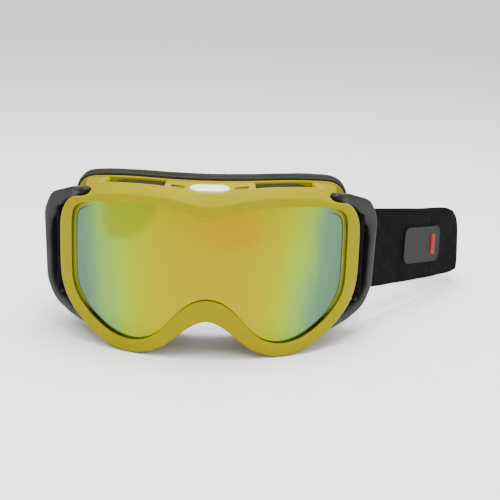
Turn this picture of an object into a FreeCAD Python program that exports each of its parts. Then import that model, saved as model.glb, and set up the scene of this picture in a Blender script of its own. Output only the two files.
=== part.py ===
"""Motorcycle goggles: frame, dual lens, face foam, swinging outriggers and an elastic strap.

X runs to the wearer's left (right when seen from the front), Y from the lens back to the head and
Z up. Every piece is built about the middle of the rim, with the lowest point of the rim at height
zero, and is then moved so that the origin lies in the middle of the whole object's base.
"""
import FreeCAD, Part
import math
import os

doc = FreeCAD.newDocument("goggles")
Vector = FreeCAD.Vector
Rotation = FreeCAD.Rotation
Placement = FreeCAD.Placement

SIZES = {
    # Curvature and depths of the frame
    "lens_radius": 112,
    "face_radius": 105,
    "rim_depth": 6,
    "flange_front": 30,
    "flange_thickness": 2.5,
    "bridge_half": 25,
    "bridge_back": 33.4,
    "wall_thickness": 2.5,
    "vent_edge": 3,
    "top_foam_low": 86.9,
    "top_foam_high": 88.6,
    "top_foam_front": 8.4,
    "block_depth": 110,
    "block_height": 130,
    # Lens pack, as distances behind the rim's front surface
    "groove_front": 2.2,
    "groove_back": 3.9,
    "groove_reach": 3,
    "outer_lens_front": 2.3,
    "outer_lens_back": 3.7,
    "inner_lens_front": 6.5,
    "inner_lens_back": 7.4,
    "spacer_width": 4,
    # Face foam layers
    "foam_base": 5,
    "foam_middle": 5,
    "foam_fleece": 2.5,
    "foam_overhang": 1.3,
    "foam_width": 8,
    # Outriggers and hinges
    "hinge_side": 70,
    "hinge_back": 35,
    "band_width": 5.5,
    "anchor_reach": 23.5,
    "anchor_bar_radius": 1.2,
    "anchor_bar_length": 60,
    "anchor_bar_low": 22,
    "eye_radius": 3.2,
    "eye_thickness": 4.5,
    "upper_eye_middle": 88.8,
    "lower_eye_middle": 11.25,
    "boss_top_inner": 80,
    "boss_low_inner": 22,
    "pin_top": 90.2,
    "pin_bottom": 9.9,
    "pin_radius": 1.5,
    "pin_clearance": 0.05,
    "boss_radius": 3,
    # Strap
    "strap_width": 46,
    "strap_thickness": 2,
    "strap_end_height": 25.5,
    "fold_height": 6.8,
    "loop_thickness": 1.6,
    "loop_clearance": 0.3,
    "seat_radius": 4.3,
    "seat_gap": 0.4,
    "loop_flap": 10,
    # Adjusters
    "adjuster_length": 14,
    "adjuster_wall": 2.6,
    "adjuster_gap": 0.4,
    "slot_depth": 5,
    # Badge on the top bridge
    "badge_length": 22,
    "badge_width": 11,
    "badge_height": 1.8,
}

sheet = doc.addObject("Spreadsheet::Sheet", "Sizes")
for row, (alias, value) in enumerate(SIZES.items(), start=1):
    sheet.set("A%d" % row, alias)
    sheet.set("B%d" % row, str(value))
    sheet.setAlias("B%d" % row, alias)
doc.recompute()

RIM = [
    # x, z and band width between the rim's outline and the lens opening, nose to top centre
    (0, 21.4, 12.0), (9, 18.0, 10.4), (20, 8.8, 8.2), (31, 2.2, 7.4), (42.5, 0, 7.2),
    (56, 2.6, 7.2), (68, 9.4, 7.4), (78, 18.6, 7.6), (84, 29, 7.8), (86, 45, 8.0),
    (86, 60, 8.0), (84.6, 73, 7.2), (80, 81.2, 5.6), (70, 87, 5.2), (55, 90, 5.4),
    (40, 91.3, 5.8), (20, 90.4, 6.2), (0, 87, 6.5),
]
FACE = [
    # x and z of the rear flange, nose to top centre
    (0, 23), (10, 19.5), (21, 10.5), (32, 4.4), (43, 2.6), (56, 5), (67, 11.5), (75.5, 21),
    (79.8, 34), (80.5, 52), (80, 70), (78.4, 81), (73, 88), (62, 91.6), (48, 93.4), (25, 94.1),
    (0, 94.1),
]
BROW = [
    # x, z of the crease, z of the rear edge: the bright bevel along the top of the rim
    (0, 87, 92.6), (12, 88.9, 93.6), (26, 90.6, 95.0), (40, 91.2, 95.6), (52, 90.4, 95.2),
    (60, 89.1, 92.6), (64, 88.3, 89.6),
]
OUTRIGGER_PATH = [
    # reach from the hinge and height of the band's middle line, with the radius of each bend
    (0, 88.8, 0), (12, 86, 20), (25, 82.2, 9), (32, 71.5, 12), (32.4, 29, 13), (25.5, 19.5, 16),
    (13, 14.2, 20), (0, 11.25, 0),
]
BRIDGE_PROFILE = [
    # y and z of the bridge's section; its rear edge lies at the bridge_back depth
    (8.3, 91.4), (None, 93.84), (None, 84), (9.5, 80),
]
BRIDGE_SLOPE = math.atan2(93.6 - 91.4, 31 - 8.3)
BADGE_PLACE = (0, 17.6, 92.36)
BOSS_SPANS = {"upper": (79.9, 84.9), "lower": (15.4, 23.5)}
OUTRIGGER_ANGLE = math.atan2(22, 21.4)  # the resting turn of the right outrigger about its hinge
STRAP_ROUTE = [
    # x and y of the strap in plan, with the radius of each bend, from the right loop to the left
    (85, 63.4, 0), (86.5, 70, 14), (175, 177, 5), (-72, 143.3, 18), (-87.5, 86, 60),
    (-85, 63.4, 0),
]
# Distances along the strap, from its right end; those named _BACK run from its left end
RIGHT_STRETCH = 96.0
FOLD_AT = 138.0
LANDING_AT = 168.0
CORNER_BACK = 98.0
LEFT_STRETCH_BACK = 62.0
STRETCH_GAP = 0.02
END_GAP = 0.3
PATCH_AT = 82
ADJUSTER_PLACES = {"right": 228, "left": 298}
TAIL_SPANS = {"right": (203, 255), "left": (271, 323)}
RIGHT_GRIP = (150, 200)
LEFT_GRIP_BACK = (140, 105)
RIBBON_STEP = 3.0
CORNER_FALL = 32.0
REST_HEIGHT = 4.0  # height of the rear loop's lower edge, where the adjusters slide
GRIP_LEVELS = (9, 21.8, 34.6)
FLAP_MIDDLE = 85.0
FLAP_START = 53.4
STITCH_ROWS = (61.2, 62.4)
STITCH_PITCH = 4.6
FAR = 120  # further than any point of the frame


def size(name):
    """The value of one dimension in the sheet."""
    return float(getattr(sheet, name))


def add(kind, name, **properties):
    """A new document object with the given properties set."""
    item = doc.addObject(kind, name)
    for key, value in properties.items():
        setattr(item, key, value)
    return item


def bind(item, **expressions):
    """Bind properties of an object to expressions over the sheet's aliases."""
    for key, expression in expressions.items():
        item.setExpression(key.replace("__", "."), expression)
    return item


# ---------------------------------------------------------------- outlines

def spline(points):
    """A closed smooth curve in the XZ plane through the given points."""
    curve = Part.BSplineCurve()
    curve.interpolate(Points=[Vector(x, 0, z) for x, z in points], PeriodicFlag=True)
    return curve


def mirrored(half):
    """A whole loop from its right half, which runs from the nose to the top centre."""
    right = [(x, z) for x, z in half]
    return right + [(-x, z) for x, z in reversed(right[1:-1])]


def inset(loop, distances):
    """The loop moved inwards by a distance for each point, or outwards where it is negative."""
    curve = spline(loop)
    moved = []
    for (x, z), distance in zip(loop, distances):
        tangent = curve.tangent(curve.parameter(Vector(x, 0, z)))[0]
        moved.append((x - tangent.z * distance, z + tangent.x * distance))
    return moved


def inset_evenly(loop, distance):
    """The loop moved inwards by the same distance everywhere."""
    return inset(loop, [distance] * len(loop))


rim_loop = mirrored([(x, z) for x, z, band in RIM])
rim_bands = [band for x, z, band in RIM]
opening_loop = inset(rim_loop, rim_bands + rim_bands[-2:0:-1])
face_loop = mirrored(FACE)


def wire_of(loop):
    """The closed wire of a loop."""
    return Part.Wire(spline(loop).toShape())


def block(name, outer, inner=None):
    """A straight block along Y with the outline of a loop, and with a hole if one is given."""
    face = Part.Face(wire_of(outer))
    if inner:
        face = face.cut(Part.Face(wire_of(inner)))
    profile = add("Part::Feature", name + "_profile")
    profile.Shape = face
    extrusion = add("Part::Extrusion", name + "_block", Base=profile, Dir=Vector(0, 1, 0),
                    DirMode="Custom", Solid=True)
    return bind(extrusion, LengthFwd="Sizes.block_depth")


def bend(name, radius, behind):
    """An upright cylinder whose front line lies a distance behind the middle of the rim."""
    item = add("Part::Cylinder", name)
    bind(item, Radius=radius, Height="Sizes.block_height")
    bind(item, Placement__Base__y="%s + %s" % (radius, behind), Placement__Base__z="-20")
    return item


def slab(name, outline, front, back, front_radius="Sizes.lens_radius",
         back_radius="Sizes.lens_radius"):
    """The part of a block between two curved surfaces, given as distances behind the rim."""
    kept = add("Part::Common", name + "_kept", Base=outline,
               Tool=bend(name + "_front", front_radius, front))
    return add("Part::Cut", name, Base=kept, Tool=bend(name + "_back", back_radius, back))


def face_slab(name, outline, front, back):
    """The part of a block between two surfaces that follow the wearer's face."""
    return slab(name, outline, front, back, "Sizes.face_radius", "Sizes.face_radius")


def fuse(name, *items):
    """Several objects joined in one solid."""
    return add("Part::MultiFuse", name, Shapes=list(items), Refine=True)


def cut(name, base, *tools):
    """One object less several others."""
    tool = tools[0] if len(tools) == 1 else add("Part::Compound", name + "_tools", Links=list(tools))
    return add("Part::Cut", name, Base=base, Tool=tool)


def box(name, low, high):
    """A box between two opposite corners."""
    return add("Part::Box", name, Length=high[0] - low[0], Width=high[1] - low[1],
               Height=high[2] - low[2], Placement=Placement(Vector(*low), Rotation()))


# ---------------------------------------------------------------- frame

WINDOWS = {
    # the x and z ranges of each vent window; the left-hand ones are mirrored from these
    "top": ((28, 57), (80, 96)),
    "bottom": ((26, 58), (0, 22)),
    "side": ((70, 90), (42, 58)),
}


def halves(whole):
    """The right and left halves of a ring, which the middle plane divides."""
    items = []
    for side, hand in ((1, "right"), (-1, "left")):
        area = box("%s_area_%s" % (whole.Name, hand), (min(0, side * FAR), -FAR, -FAR),
                   (max(0, side * FAR), FAR, FAR))
        items.append(add("Part::Common", "%s_%s" % (whole.Name, hand), Base=whole, Tool=area))
    return items


def window_box(name, ranges, side, margin):
    """A box over a vent window's x and z range, on the right (1) or the left (-1)."""
    (x_low, x_high), (z_low, z_high) = ranges
    low_x = min(side * x_low, side * x_high) - margin
    high_x = max(side * x_low, side * x_high) + margin
    return box(name, (low_x, 0, z_low - margin), (high_x, 100, z_high + margin))


def brow():
    """The raised bevel along the top of the rim, lofted through upright sections."""
    sections = []
    radius = size("lens_radius")
    whole = [(-x, crease, rear) for x, crease, rear in reversed(BROW[1:])] + BROW
    for x, crease, rear in whole:
        front = radius - math.sqrt(radius ** 2 - x ** 2)
        profile = [(front + 0.4, crease - 2.5), (front, crease - 0.6), (front + 5.5, rear),
                   (front + 8, rear - 1.2), (front + 5.2, crease - 2.5)]
        points = [Vector(x, y, z) for y, z in profile]
        sections.append(Part.makePolygon(points + points[:1]))
    item = add("Part::Feature", "brow")
    item.Shape = Part.makeLoft(sections, True)
    return item


def frame_rim():
    """The front rim: a curved band round the lens with a groove for it and a brow on top."""
    band = slab("rim_band", block("rim", rim_loop, opening_loop), "0", "Sizes.rim_depth")
    groove = slab("rim_groove", block("groove", inset_evenly(opening_loop, -size("groove_reach"))),
                  "Sizes.groove_front", "Sizes.groove_back")
    return halves(cut("frame_rim", fuse("rim_with_brow", band, brow()), groove))


def bridge():
    """The solid middle of the top between the two long vents, which carries the badge."""
    half, back = size("bridge_half"), size("bridge_back")
    points = [Vector(0, back if y is None else y, z) for y, z in BRIDGE_PROFILE]
    item = add("Part::Feature", "bridge")
    face = Part.Face(Part.makePolygon(points + points[:1]))
    solid = face.extrude(Vector(2 * half, 0, 0))
    solid.translate(Vector(-half, 0, 0))
    item.Shape = solid
    return item


def flange_ring(name, thickness="Sizes.flange_thickness"):
    """The wide flange behind the wall, which carries the face foam."""
    inner_face = inset_evenly(opening_loop, size("wall_thickness") - 1)
    return face_slab(name, block(name + "_outline", face_loop, inner_face),
                     "Sizes.flange_front", "Sizes.flange_front + " + thickness)


def frame_body():
    """The wall between the rim and the flange, with the bridge and the four hinge bosses."""
    inner_face = inset_evenly(opening_loop, size("wall_thickness") - 1)
    wall = slab("wall_ring", block("wall", inset_evenly(opening_loop, -1), inner_face),
                "Sizes.rim_depth", "Sizes.flange_front", "Sizes.lens_radius", "Sizes.face_radius")
    inside = block("inside", inner_face)
    end = flange_ring("bridge_end", "2 * Sizes.flange_thickness")
    hub = cut("bridge_hub", bridge(), inside, end)
    pieces = [wall, hub]
    for side, word in ((1, "right"), (-1, "left")):
        for level, (low, high) in BOSS_SPANS.items():
            boss = add("Part::Cylinder", "boss_%s_%s" % (level, word))
            bind(boss, Radius="Sizes.boss_radius", Height="%s - %s" % (high, low))
            bind(boss, Placement__Base__x="%d * Sizes.hinge_side" % side,
                 Placement__Base__y="Sizes.hinge_back", Placement__Base__z=str(low))
            pieces.append(boss)
    tools = []
    for word, ranges in WINDOWS.items():
        for side in (1, -1):
            name = "window_%s_%s" % (word, "right" if side > 0 else "left")
            tools.append(slab(name, window_box(name + "_box", ranges, side, 0),
                              "Sizes.rim_depth + Sizes.vent_edge",
                              "Sizes.flange_front - Sizes.vent_edge",
                              "Sizes.lens_radius", "Sizes.face_radius"))
    for side in (1, -1):
        hole = add("Part::Cylinder", "pin_hole_%d" % side)
        bind(hole, Radius="Sizes.pin_radius", Height="Sizes.block_height")
        bind(hole, Placement__Base__x="%d * Sizes.hinge_side" % side,
             Placement__Base__y="Sizes.hinge_back")
        tools.append(hole)
    return halves(cut("frame_body", fuse("frame_solid", *pieces), *tools))


def top_vent_foam(name, side):
    """A level foam sheet that lies over one of the long windows in the top."""
    low, high = WINDOWS["top"][0]
    area = box(name + "_box", (min(side * low, side * high), 0, size("top_foam_low")),
               (max(side * low, side * high), 100, size("top_foam_high")))
    return slab(name, area, "Sizes.top_foam_front", "Sizes.flange_front - 0.3",
                "Sizes.lens_radius", "Sizes.face_radius")


def vent_foams():
    """The thin foam sheets that cover the vent windows."""
    items = []
    for word, ranges in WINDOWS.items():
        for side, hand in ((1, "right"), (-1, "left")):
            name = "vent_foam_%s_%s" % (word, hand)
            if word == "top":
                items.append(top_vent_foam(name, side))
                continue
            ring = block(name, inset_evenly(opening_loop, size("wall_thickness") - 0.9),
                         inset_evenly(opening_loop, size("wall_thickness") + 0.9))
            area = window_box(name + "_box", ranges, side, 1.5)
            sheet_block = add("Part::Common", name + "_area", Base=ring, Tool=area)
            items.append(slab(name, sheet_block, "Sizes.inner_lens_back + 0.4",
                              "Sizes.flange_front - 1", "Sizes.lens_radius", "Sizes.face_radius"))
    return items


def top_badge():
    """A blank domed pill that lies on the bridge."""
    body = doc.addObject("PartDesign::Body", "top_badge")
    sketch = body.newObject("Sketcher::SketchObject", "badge_outline")
    plane = [item for item in body.Origin.OriginFeatures if item.Role == "XY_Plane"][0]
    sketch.AttachmentSupport = [(plane, "")]
    sketch.MapMode = "FlatFace"
    end = size("badge_width") / 2
    middle = size("badge_length") / 2 - end
    for sign in (1, -1):
        sketch.addGeometry(Part.LineSegment(Vector(sign * middle, -sign * end, 0),
                                            Vector(-sign * middle, -sign * end, 0)))
        ring = Part.Circle(Vector(sign * middle, 0, 0), Vector(0, 0, 1), end)
        start = -math.pi / 2 if sign > 0 else math.pi / 2
        sketch.addGeometry(Part.ArcOfCircle(ring, start, start + math.pi))
    pad = body.newObject("PartDesign::Pad", "badge_pad")
    pad.Profile = sketch
    bind(pad, Length="Sizes.badge_height")
    doc.recompute()
    dome = body.newObject("PartDesign::Chamfer", "badge_edge")
    top = [name for name, face in zip(face_names(pad), pad.Shape.Faces)
           if face.CenterOfMass.z > size("badge_height") - 0.01]
    dome.Base = (pad, top)
    dome.Size = size("badge_height") / 2
    tilt = Rotation(Vector(1, 0, 0), math.degrees(BRIDGE_SLOPE))
    body.Placement = Placement(Vector(*BADGE_PLACE), tilt)
    return body


def face_names(item):
    """The names of an object's faces, in order."""
    return ["Face%d" % (index + 1) for index in range(len(item.Shape.Faces))]


# ---------------------------------------------------------------- lens and foam

def lens_pack():
    """The outer lens in the rim's groove, the spacer gasket and the inner lens."""
    reach = size("groove_reach") - 0.3
    outer = slab("outer_lens", block("outer_pane", inset_evenly(opening_loop, -reach)),
                 "Sizes.outer_lens_front", "Sizes.outer_lens_back")
    edge = size("wall_thickness") - 0.7
    ring = block("spacer", inset_evenly(opening_loop, edge),
                 inset_evenly(opening_loop, edge + size("spacer_width")))
    spacer = slab("lens_spacer", ring, "Sizes.outer_lens_back", "Sizes.inner_lens_front")
    inner = slab("inner_lens", block("inner_pane", inset_evenly(opening_loop, edge)),
                 "Sizes.inner_lens_front", "Sizes.inner_lens_back")
    return [outer, spacer, inner]


def face_foams():
    """Three foam rings stacked on the rear flange."""
    items = []
    start = "Sizes.flange_front + Sizes.flange_thickness"
    outer = inset_evenly(face_loop, -size("foam_overhang"))
    inner = inset_evenly(opening_loop, size("foam_width"))
    for name, depth in (("face_foam_base", "foam_base"), ("face_foam_soft", "foam_middle"),
                        ("face_fleece", "foam_fleece")):
        end = "%s + Sizes.%s" % (start, depth)
        items.append(face_slab(name, block(name, outer, inner), start, end))
        start = end
    return items


# ---------------------------------------------------------------- outriggers

def rounded_path(points):
    """A wire of straight runs joined by arcs, from points with a bend radius for each."""
    edges = []
    start = points[0][0]
    for (before, _), (corner, radius), (after, _) in zip(points, points[1:], points[2:]):
        to_start = (before - corner).normalize()
        to_end = (after - corner).normalize()
        half_angle = to_start.getAngle(to_end) / 2
        run = radius / math.tan(half_angle)
        first = corner + to_start * run
        last = corner + to_end * run
        centre = corner + (to_start + to_end).normalize() * (radius / math.sin(half_angle))
        middle = centre + (corner - centre).normalize() * radius
        edges.append(Part.LineSegment(start, first).toShape())
        edges.append(Part.Arc(first, middle, last).toShape())
        start = last
    edges.append(Part.LineSegment(start, points[-1][0]).toShape())
    return Part.Wire(edges)


def outrigger(hand, side):
    """A C-shaped band with an eye at each end and an upright bar that holds the strap."""
    path = add("Part::Feature", "outrigger_path_" + hand)
    path.Shape = rounded_path([(Vector(reach, 0, level), radius)
                               for reach, level, radius in OUTRIGGER_PATH])
    section = add("Part::Plane", "outrigger_section_" + hand)
    bind(section, Length="Sizes.band_width", Width="Sizes.band_width")
    half = size("band_width") / 2
    first_run = path.Shape.Edges[0].tangentAt(0)
    tilt = math.degrees(math.atan2(-first_run.z, first_run.x))
    section.Placement = (Placement(Vector(0, 0, size("upper_eye_middle")),
                                   Rotation(Vector(0, 1, 0), 90 + tilt))
                         * Placement(Vector(-half, -half, 0), Rotation()))
    edges = ["Edge%d" % (index + 1) for index in range(len(path.Shape.Edges))]
    band = add("Part::Sweep", "outrigger_band_" + hand, Sections=[section], Spine=(path, edges),
               Solid=True, Frenet=False)
    anchor = add("Part::Cylinder", "anchor_bar_" + hand)
    bind(anchor, Radius="Sizes.anchor_bar_radius", Height="Sizes.anchor_bar_length",
         Placement__Base__z="Sizes.anchor_bar_low", Placement__Base__x="Sizes.anchor_reach")
    seat = add("Part::Cylinder", "strap_seat_" + hand)
    bind(seat, Radius="Sizes.seat_radius", Height="Sizes.strap_width + 2 * Sizes.seat_gap",
         Placement__Base__x="Sizes.anchor_reach",
         Placement__Base__z="Sizes.strap_end_height - Sizes.seat_gap")
    pieces = [cut("outrigger_open_band_" + hand, band, seat), anchor]
    for level in ("upper", "lower"):
        eye = add("Part::Cylinder", "eye_%s_%s" % (level, hand))
        bind(eye, Radius="Sizes.eye_radius", Height="Sizes.eye_thickness",
             Placement__Base__z="Sizes.%s_eye_middle - Sizes.eye_thickness / 2" % level)
        pieces.append(eye)
    hole = add("Part::Cylinder", "eye_hole_" + hand)
    bind(hole, Radius="Sizes.pin_radius + Sizes.pin_clearance",
         Height="Sizes.pin_top - Sizes.pin_bottom + 0.2",
         Placement__Base__z="Sizes.pin_bottom - 0.1")
    item = cut("outrigger_" + hand, fuse("outrigger_solid_" + hand, *pieces), hole)
    angle = math.degrees(OUTRIGGER_ANGLE)
    turn = Rotation(Vector(0, 0, 1), angle if side > 0 else 180 - angle)
    item.Placement = Placement(Vector(side * size("hinge_side"), size("hinge_back"), 0), turn)
    return item


def hinge_pins():
    """Four plain pins, pressed in the frame's bosses and running in blind eyes."""
    items = []
    for side, hand in ((1, "right"), (-1, "left")):
        for level, low, high in (("upper", "boss_top_inner", "pin_top"),
                                 ("lower", "pin_bottom", "boss_low_inner")):
            pin = add("Part::Cylinder", "hinge_pin_%s_%s" % (level, hand))
            bind(pin, Radius="Sizes.pin_radius", Height="Sizes.%s - Sizes.%s" % (high, low))
            pin.Placement.Base = Vector(side * size("hinge_side"), size("hinge_back"), size(low))
            items.append(pin)
    return items


# ---------------------------------------------------------------- strap

def strap_path():
    """The middle line of the whole strap in plan, from the right loop round to the left one."""
    return rounded_path([(Vector(x, y, 0), radius) for x, y, radius in STRAP_ROUTE])


def smooth(share):
    """A step from 0 to 1 with level ends."""
    return share * share * (3 - 2 * share)


def lower_edge(distance, length):
    """Height of the strap's lower edge along its length: it hangs from the loops to the base."""
    end = size("strap_end_height")
    fold_height = size("fold_height")
    corner_at = length - CORNER_BACK
    if distance < FOLD_AT:
        share = distance / FOLD_AT
        return fold_height + (end - fold_height) * (1 - share) ** 1.25
    if distance < LANDING_AT:
        share = (distance - FOLD_AT) / (LANDING_AT - FOLD_AT)
        return fold_height + (REST_HEIGHT - fold_height) * smooth(share)
    if distance > corner_at:
        share = (length - distance) / CORNER_BACK
        return end * (1 - share) ** 1.3
    return REST_HEIGHT * smooth(min(1, (corner_at - distance) / CORNER_FALL))


def ribbon(start, end, offset=0.0, thickness=None, level=0.0, height=None):
    """A stretch of webbing between two distances along the strap's middle line."""
    path = strap_path()
    thickness = thickness or size("strap_thickness")
    height = height or size("strap_width")
    length = path.Length
    count = max(2, int((end - start) / RIBBON_STEP))
    marks = [start + (end - start) * index / count for index in range(count + 1)]
    near = path.discretize(Number=int(length * 4) + 1)
    step = length / (len(near) - 1)
    sections = []
    for mark in marks:
        index = min(len(near) - 2, max(1, int(round(mark / step))))
        point = near[index - 1] + (near[index] - near[index - 1]) * (mark / step - index + 1)
        along = (near[index + 1] - near[index - 1]).normalize()
        across = Vector(along.y, -along.x, 0)
        base = lower_edge(mark, length) + level
        corners = []
        for side, up in ((-1, 0), (1, 0), (1, 1), (-1, 1)):
            shift = across * (offset + side * thickness / 2)
            corners.append(point + shift + Vector(0, 0, base + up * height))
        sections.append(Part.makePolygon(corners + corners[:1]))
    return Part.makeLoft(sections, True, True)


def feature(name, shape):
    """A sub-part whose shape is given."""
    item = add("Part::Feature", name)
    item.Shape = shape
    return item


def strap_stretches():
    """The two side stretches, the rear loop and the two folded tails."""
    length = strap_path().Length
    left_start = length - LEFT_STRETCH_BACK
    pieces = [feature("strap_side_right", ribbon(END_GAP, RIGHT_STRETCH - STRETCH_GAP)),
              feature("strap_rear", ribbon(RIGHT_STRETCH, left_start)),
              feature("strap_side_left", ribbon(left_start + STRETCH_GAP, length - END_GAP))]
    offset = size("strap_thickness") + END_GAP
    for hand, (start, end) in TAIL_SPANS.items():
        pieces.append(feature("strap_tail_" + hand, ribbon(start, end, offset=offset)))
    return pieces


def strap_loop(hand, side):
    """The sewn end of the strap: a round turn about the anchor bar and a doubled flap."""
    reach = size("anchor_reach")
    centre = Vector(side * (size("hinge_side") + reach * math.cos(OUTRIGGER_ANGLE)),
                    size("hinge_back") + reach * math.sin(OUTRIGGER_ANGLE), 0)
    base = size("strap_end_height")
    height = size("strap_width")
    inner = size("anchor_bar_radius") + size("loop_clearance")
    outer = inner + size("loop_thickness")
    turn = Part.makeCylinder(outer, height, centre + Vector(0, 0, base))
    thick = 2 * size("loop_thickness")
    low_x = side * FLAP_MIDDLE - thick / 2
    flap = Part.makeBox(thick, size("loop_flap"), height, Vector(low_x, FLAP_START, base))
    hole = Part.makeCylinder(inner, height + 2, centre + Vector(0, 0, base - 1))
    return feature("strap_loop_" + hand, turn.fuse(flap).cut(hole).removeSplitter())


def stitching(hand, side):
    """Two upright rows of bar tacks on the outer face of the sewn flap."""
    stitches = []
    base = size("strap_end_height") + 3
    tall, deep, long = 0.3, 0.5, 3.2
    face_x = side * (FLAP_MIDDLE - size("loop_thickness") - STRETCH_GAP)
    low_x = face_x - tall if side > 0 else face_x
    for row_y in STITCH_ROWS:
        for index in range(9):
            low = Vector(low_x, row_y, base + index * STITCH_PITCH)
            stitches.append(Part.makeBox(tall, deep, long, low))
    return feature("stitching_" + hand, Part.makeCompound(stitches))


def side_frame(distance, lift):
    """A placement on the strap's middle line with X along it and Y to its outer side."""
    path = strap_path()
    near = path.discretize(Number=int(path.Length * 4) + 1)
    step = path.Length / (len(near) - 1)
    index = int(round(distance / step))
    along = (near[index + 1] - near[index - 1]).normalize()
    turn = math.degrees(math.atan2(along.y, along.x))
    return Placement(near[index] + Vector(0, 0, lift), Rotation(Vector(0, 0, 1), turn))


def strap_patch():
    """A plain rounded patch sewn on the right stretch, and its small upright tab."""
    patch = Part.makeBox(40, 0.6, 24, Vector(-20, -1.68, -12))
    upright = [edge for edge in patch.Edges if abs(edge.tangentAt(0).y) > 0.9]
    patch = patch.makeFillet(6, upright)
    tab = Part.makeBox(4, 0.5, 16, Vector(10, -2.2, -8))
    items = []
    for name, shape in (("strap_patch", patch), ("patch_tab", tab)):
        item = feature(name, shape)
        lift = lower_edge(PATCH_AT, strap_path().Length) + size("strap_width") / 2
        item.Placement = side_frame(PATCH_AT, lift)
        items.append(item)
    return items


def grip_strips(hand, start, end):
    """Three silicone lines on the head side of the strap."""
    strips = [ribbon(start, end, offset=-1.26, thickness=0.5, level=level, height=2.4)
              for level in GRIP_LEVELS]
    return feature("grip_strips_" + hand, Part.makeCompound(strips))


def adjuster(hand, place):
    """A rectangular slider that the strap and its tail run through, with an open front."""
    body = doc.addObject("PartDesign::Body", "adjuster_" + hand)
    planes = {item.Role: item for item in body.Origin.OriginFeatures}

    def sketch_on(role, name, low, high):
        sketch = body.newObject("Sketcher::SketchObject", name)
        sketch.AttachmentSupport = [(planes[role], "")]
        sketch.MapMode = "FlatFace"
        corners = [Vector(low[0], low[1], 0), Vector(high[0], low[1], 0),
                   Vector(high[0], high[1], 0), Vector(low[0], high[1], 0)]
        for first, second in zip(corners, corners[1:] + corners[:1]):
            sketch.addGeometry(Part.LineSegment(first, second))
        return sketch

    wall = size("adjuster_wall")
    tall = size("strap_width") / 2 + size("adjuster_gap")
    low_y = -size("slot_depth") / 2
    outline = sketch_on("YZ_Plane", "outline_" + hand, (low_y - 1.8, -tall - wall),
                        (-low_y + 1.8, tall + wall))
    pad = body.newObject("PartDesign::Pad", "block_" + hand)
    pad.Profile = outline
    pad.Midplane = True
    bind(pad, Length="Sizes.adjuster_length")
    slot = sketch_on("YZ_Plane", "slot_" + hand, (low_y, -tall), (-low_y, tall))
    through = body.newObject("PartDesign::Pocket", "through_" + hand)
    through.Profile = slot
    through.Midplane = True
    bind(through, Length="Sizes.adjuster_length + 2")
    half_window = size("adjuster_length") / 2 - 3
    window = sketch_on("XZ_Plane", "window_" + hand, (-half_window, -tall + 1),
                       (half_window, tall - 1))
    opening = body.newObject("PartDesign::Pocket", "opening_" + hand)
    opening.Profile = window
    opening.Midplane = True
    opening.Length = 40
    doc.recompute()
    edges = ["Edge%d" % (index + 1) for index, edge in enumerate(opening.Shape.Edges)
             if abs(edge.BoundBox.ZLength) < 0.01
             and abs(abs(edge.CenterOfMass.z) - tall - wall) < 0.01]
    rounding = body.newObject("PartDesign::Fillet", "rounding_" + hand)
    rounding.Base = (opening, edges)
    rounding.Radius = 1.2
    spot = side_frame(place, REST_HEIGHT + size("strap_width") / 2)
    shift = spot.Rotation.multVec(Vector(0, -1.15, 0))
    body.Placement = Placement(spot.Base + shift, spot.Rotation)
    return body


# ---------------------------------------------------------------- assembly

def all_parts():
    """Every sub-part, in the order in which the goggles are put together."""
    parts = frame_rim() + frame_body() + [flange_ring("rear_flange"), top_badge()]
    parts += vent_foams()
    parts += lens_pack()
    parts += face_foams()
    parts += hinge_pins()
    parts += strap_stretches()
    parts += strap_patch()
    length = strap_path().Length
    parts.append(grip_strips("right", *RIGHT_GRIP))
    parts.append(grip_strips("left", *[length - back for back in LEFT_GRIP_BACK]))
    for hand, side in (("right", 1), ("left", -1)):
        parts.append(outrigger(hand, side))
        parts.append(strap_loop(hand, side))
        parts.append(stitching(hand, side))
        parts.append(adjuster(hand, ADJUSTER_PLACES[hand]))
    return parts


def check(parts):
    """Stop if any object failed or any sub-part has no valid solid."""
    doc.recompute()
    for item in doc.Objects:
        if "Invalid" in item.State or "Error" in item.State:
            raise RuntimeError("failed object: " + item.Name)
    for part in parts:
        if part.Shape.isNull() or not part.Shape.isValid() or part.Shape.Volume <= 0:
            raise RuntimeError("bad shape: " + part.Name)


def move_to_base_middle(parts):
    """Move every sub-part so that the origin is in the middle of the object's base."""
    whole = FreeCAD.BoundBox()
    for part in parts:
        whole.add(part.Shape.optimalBoundingBox(False, False))
    shift = Placement(Vector(-whole.Center.x, -whole.Center.y, -whole.ZMin), Rotation())
    for part in parts:
        part.Placement = shift * part.Placement
    print("moved by", shift.Base, "whole size", whole.XLength, whole.YLength, whole.ZLength)


parts = all_parts()
check(parts)
move_to_base_middle(parts)
check(parts)
os.makedirs("parts", exist_ok=True)
for part in parts:
    part.Label = part.Name
    part.Shape.exportStep(os.path.join("parts", part.Label + ".step"))
    print(part.Label, round(part.Shape.Volume, 1), len(part.Shape.Solids))
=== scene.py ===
"""Motorcycle goggles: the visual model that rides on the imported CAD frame.

Lengths in the shape code are millimetres in the goggles' own measuring frame: x across from the
middle of the lens, y back from the lens towards the head and z up from the base. at() turns such a
point into the scene's metres, so every piece sits where the CAD nodes are.
"""
import math

import bmesh
import bpy
import numpy as np
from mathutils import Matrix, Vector, geometry, noise


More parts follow.
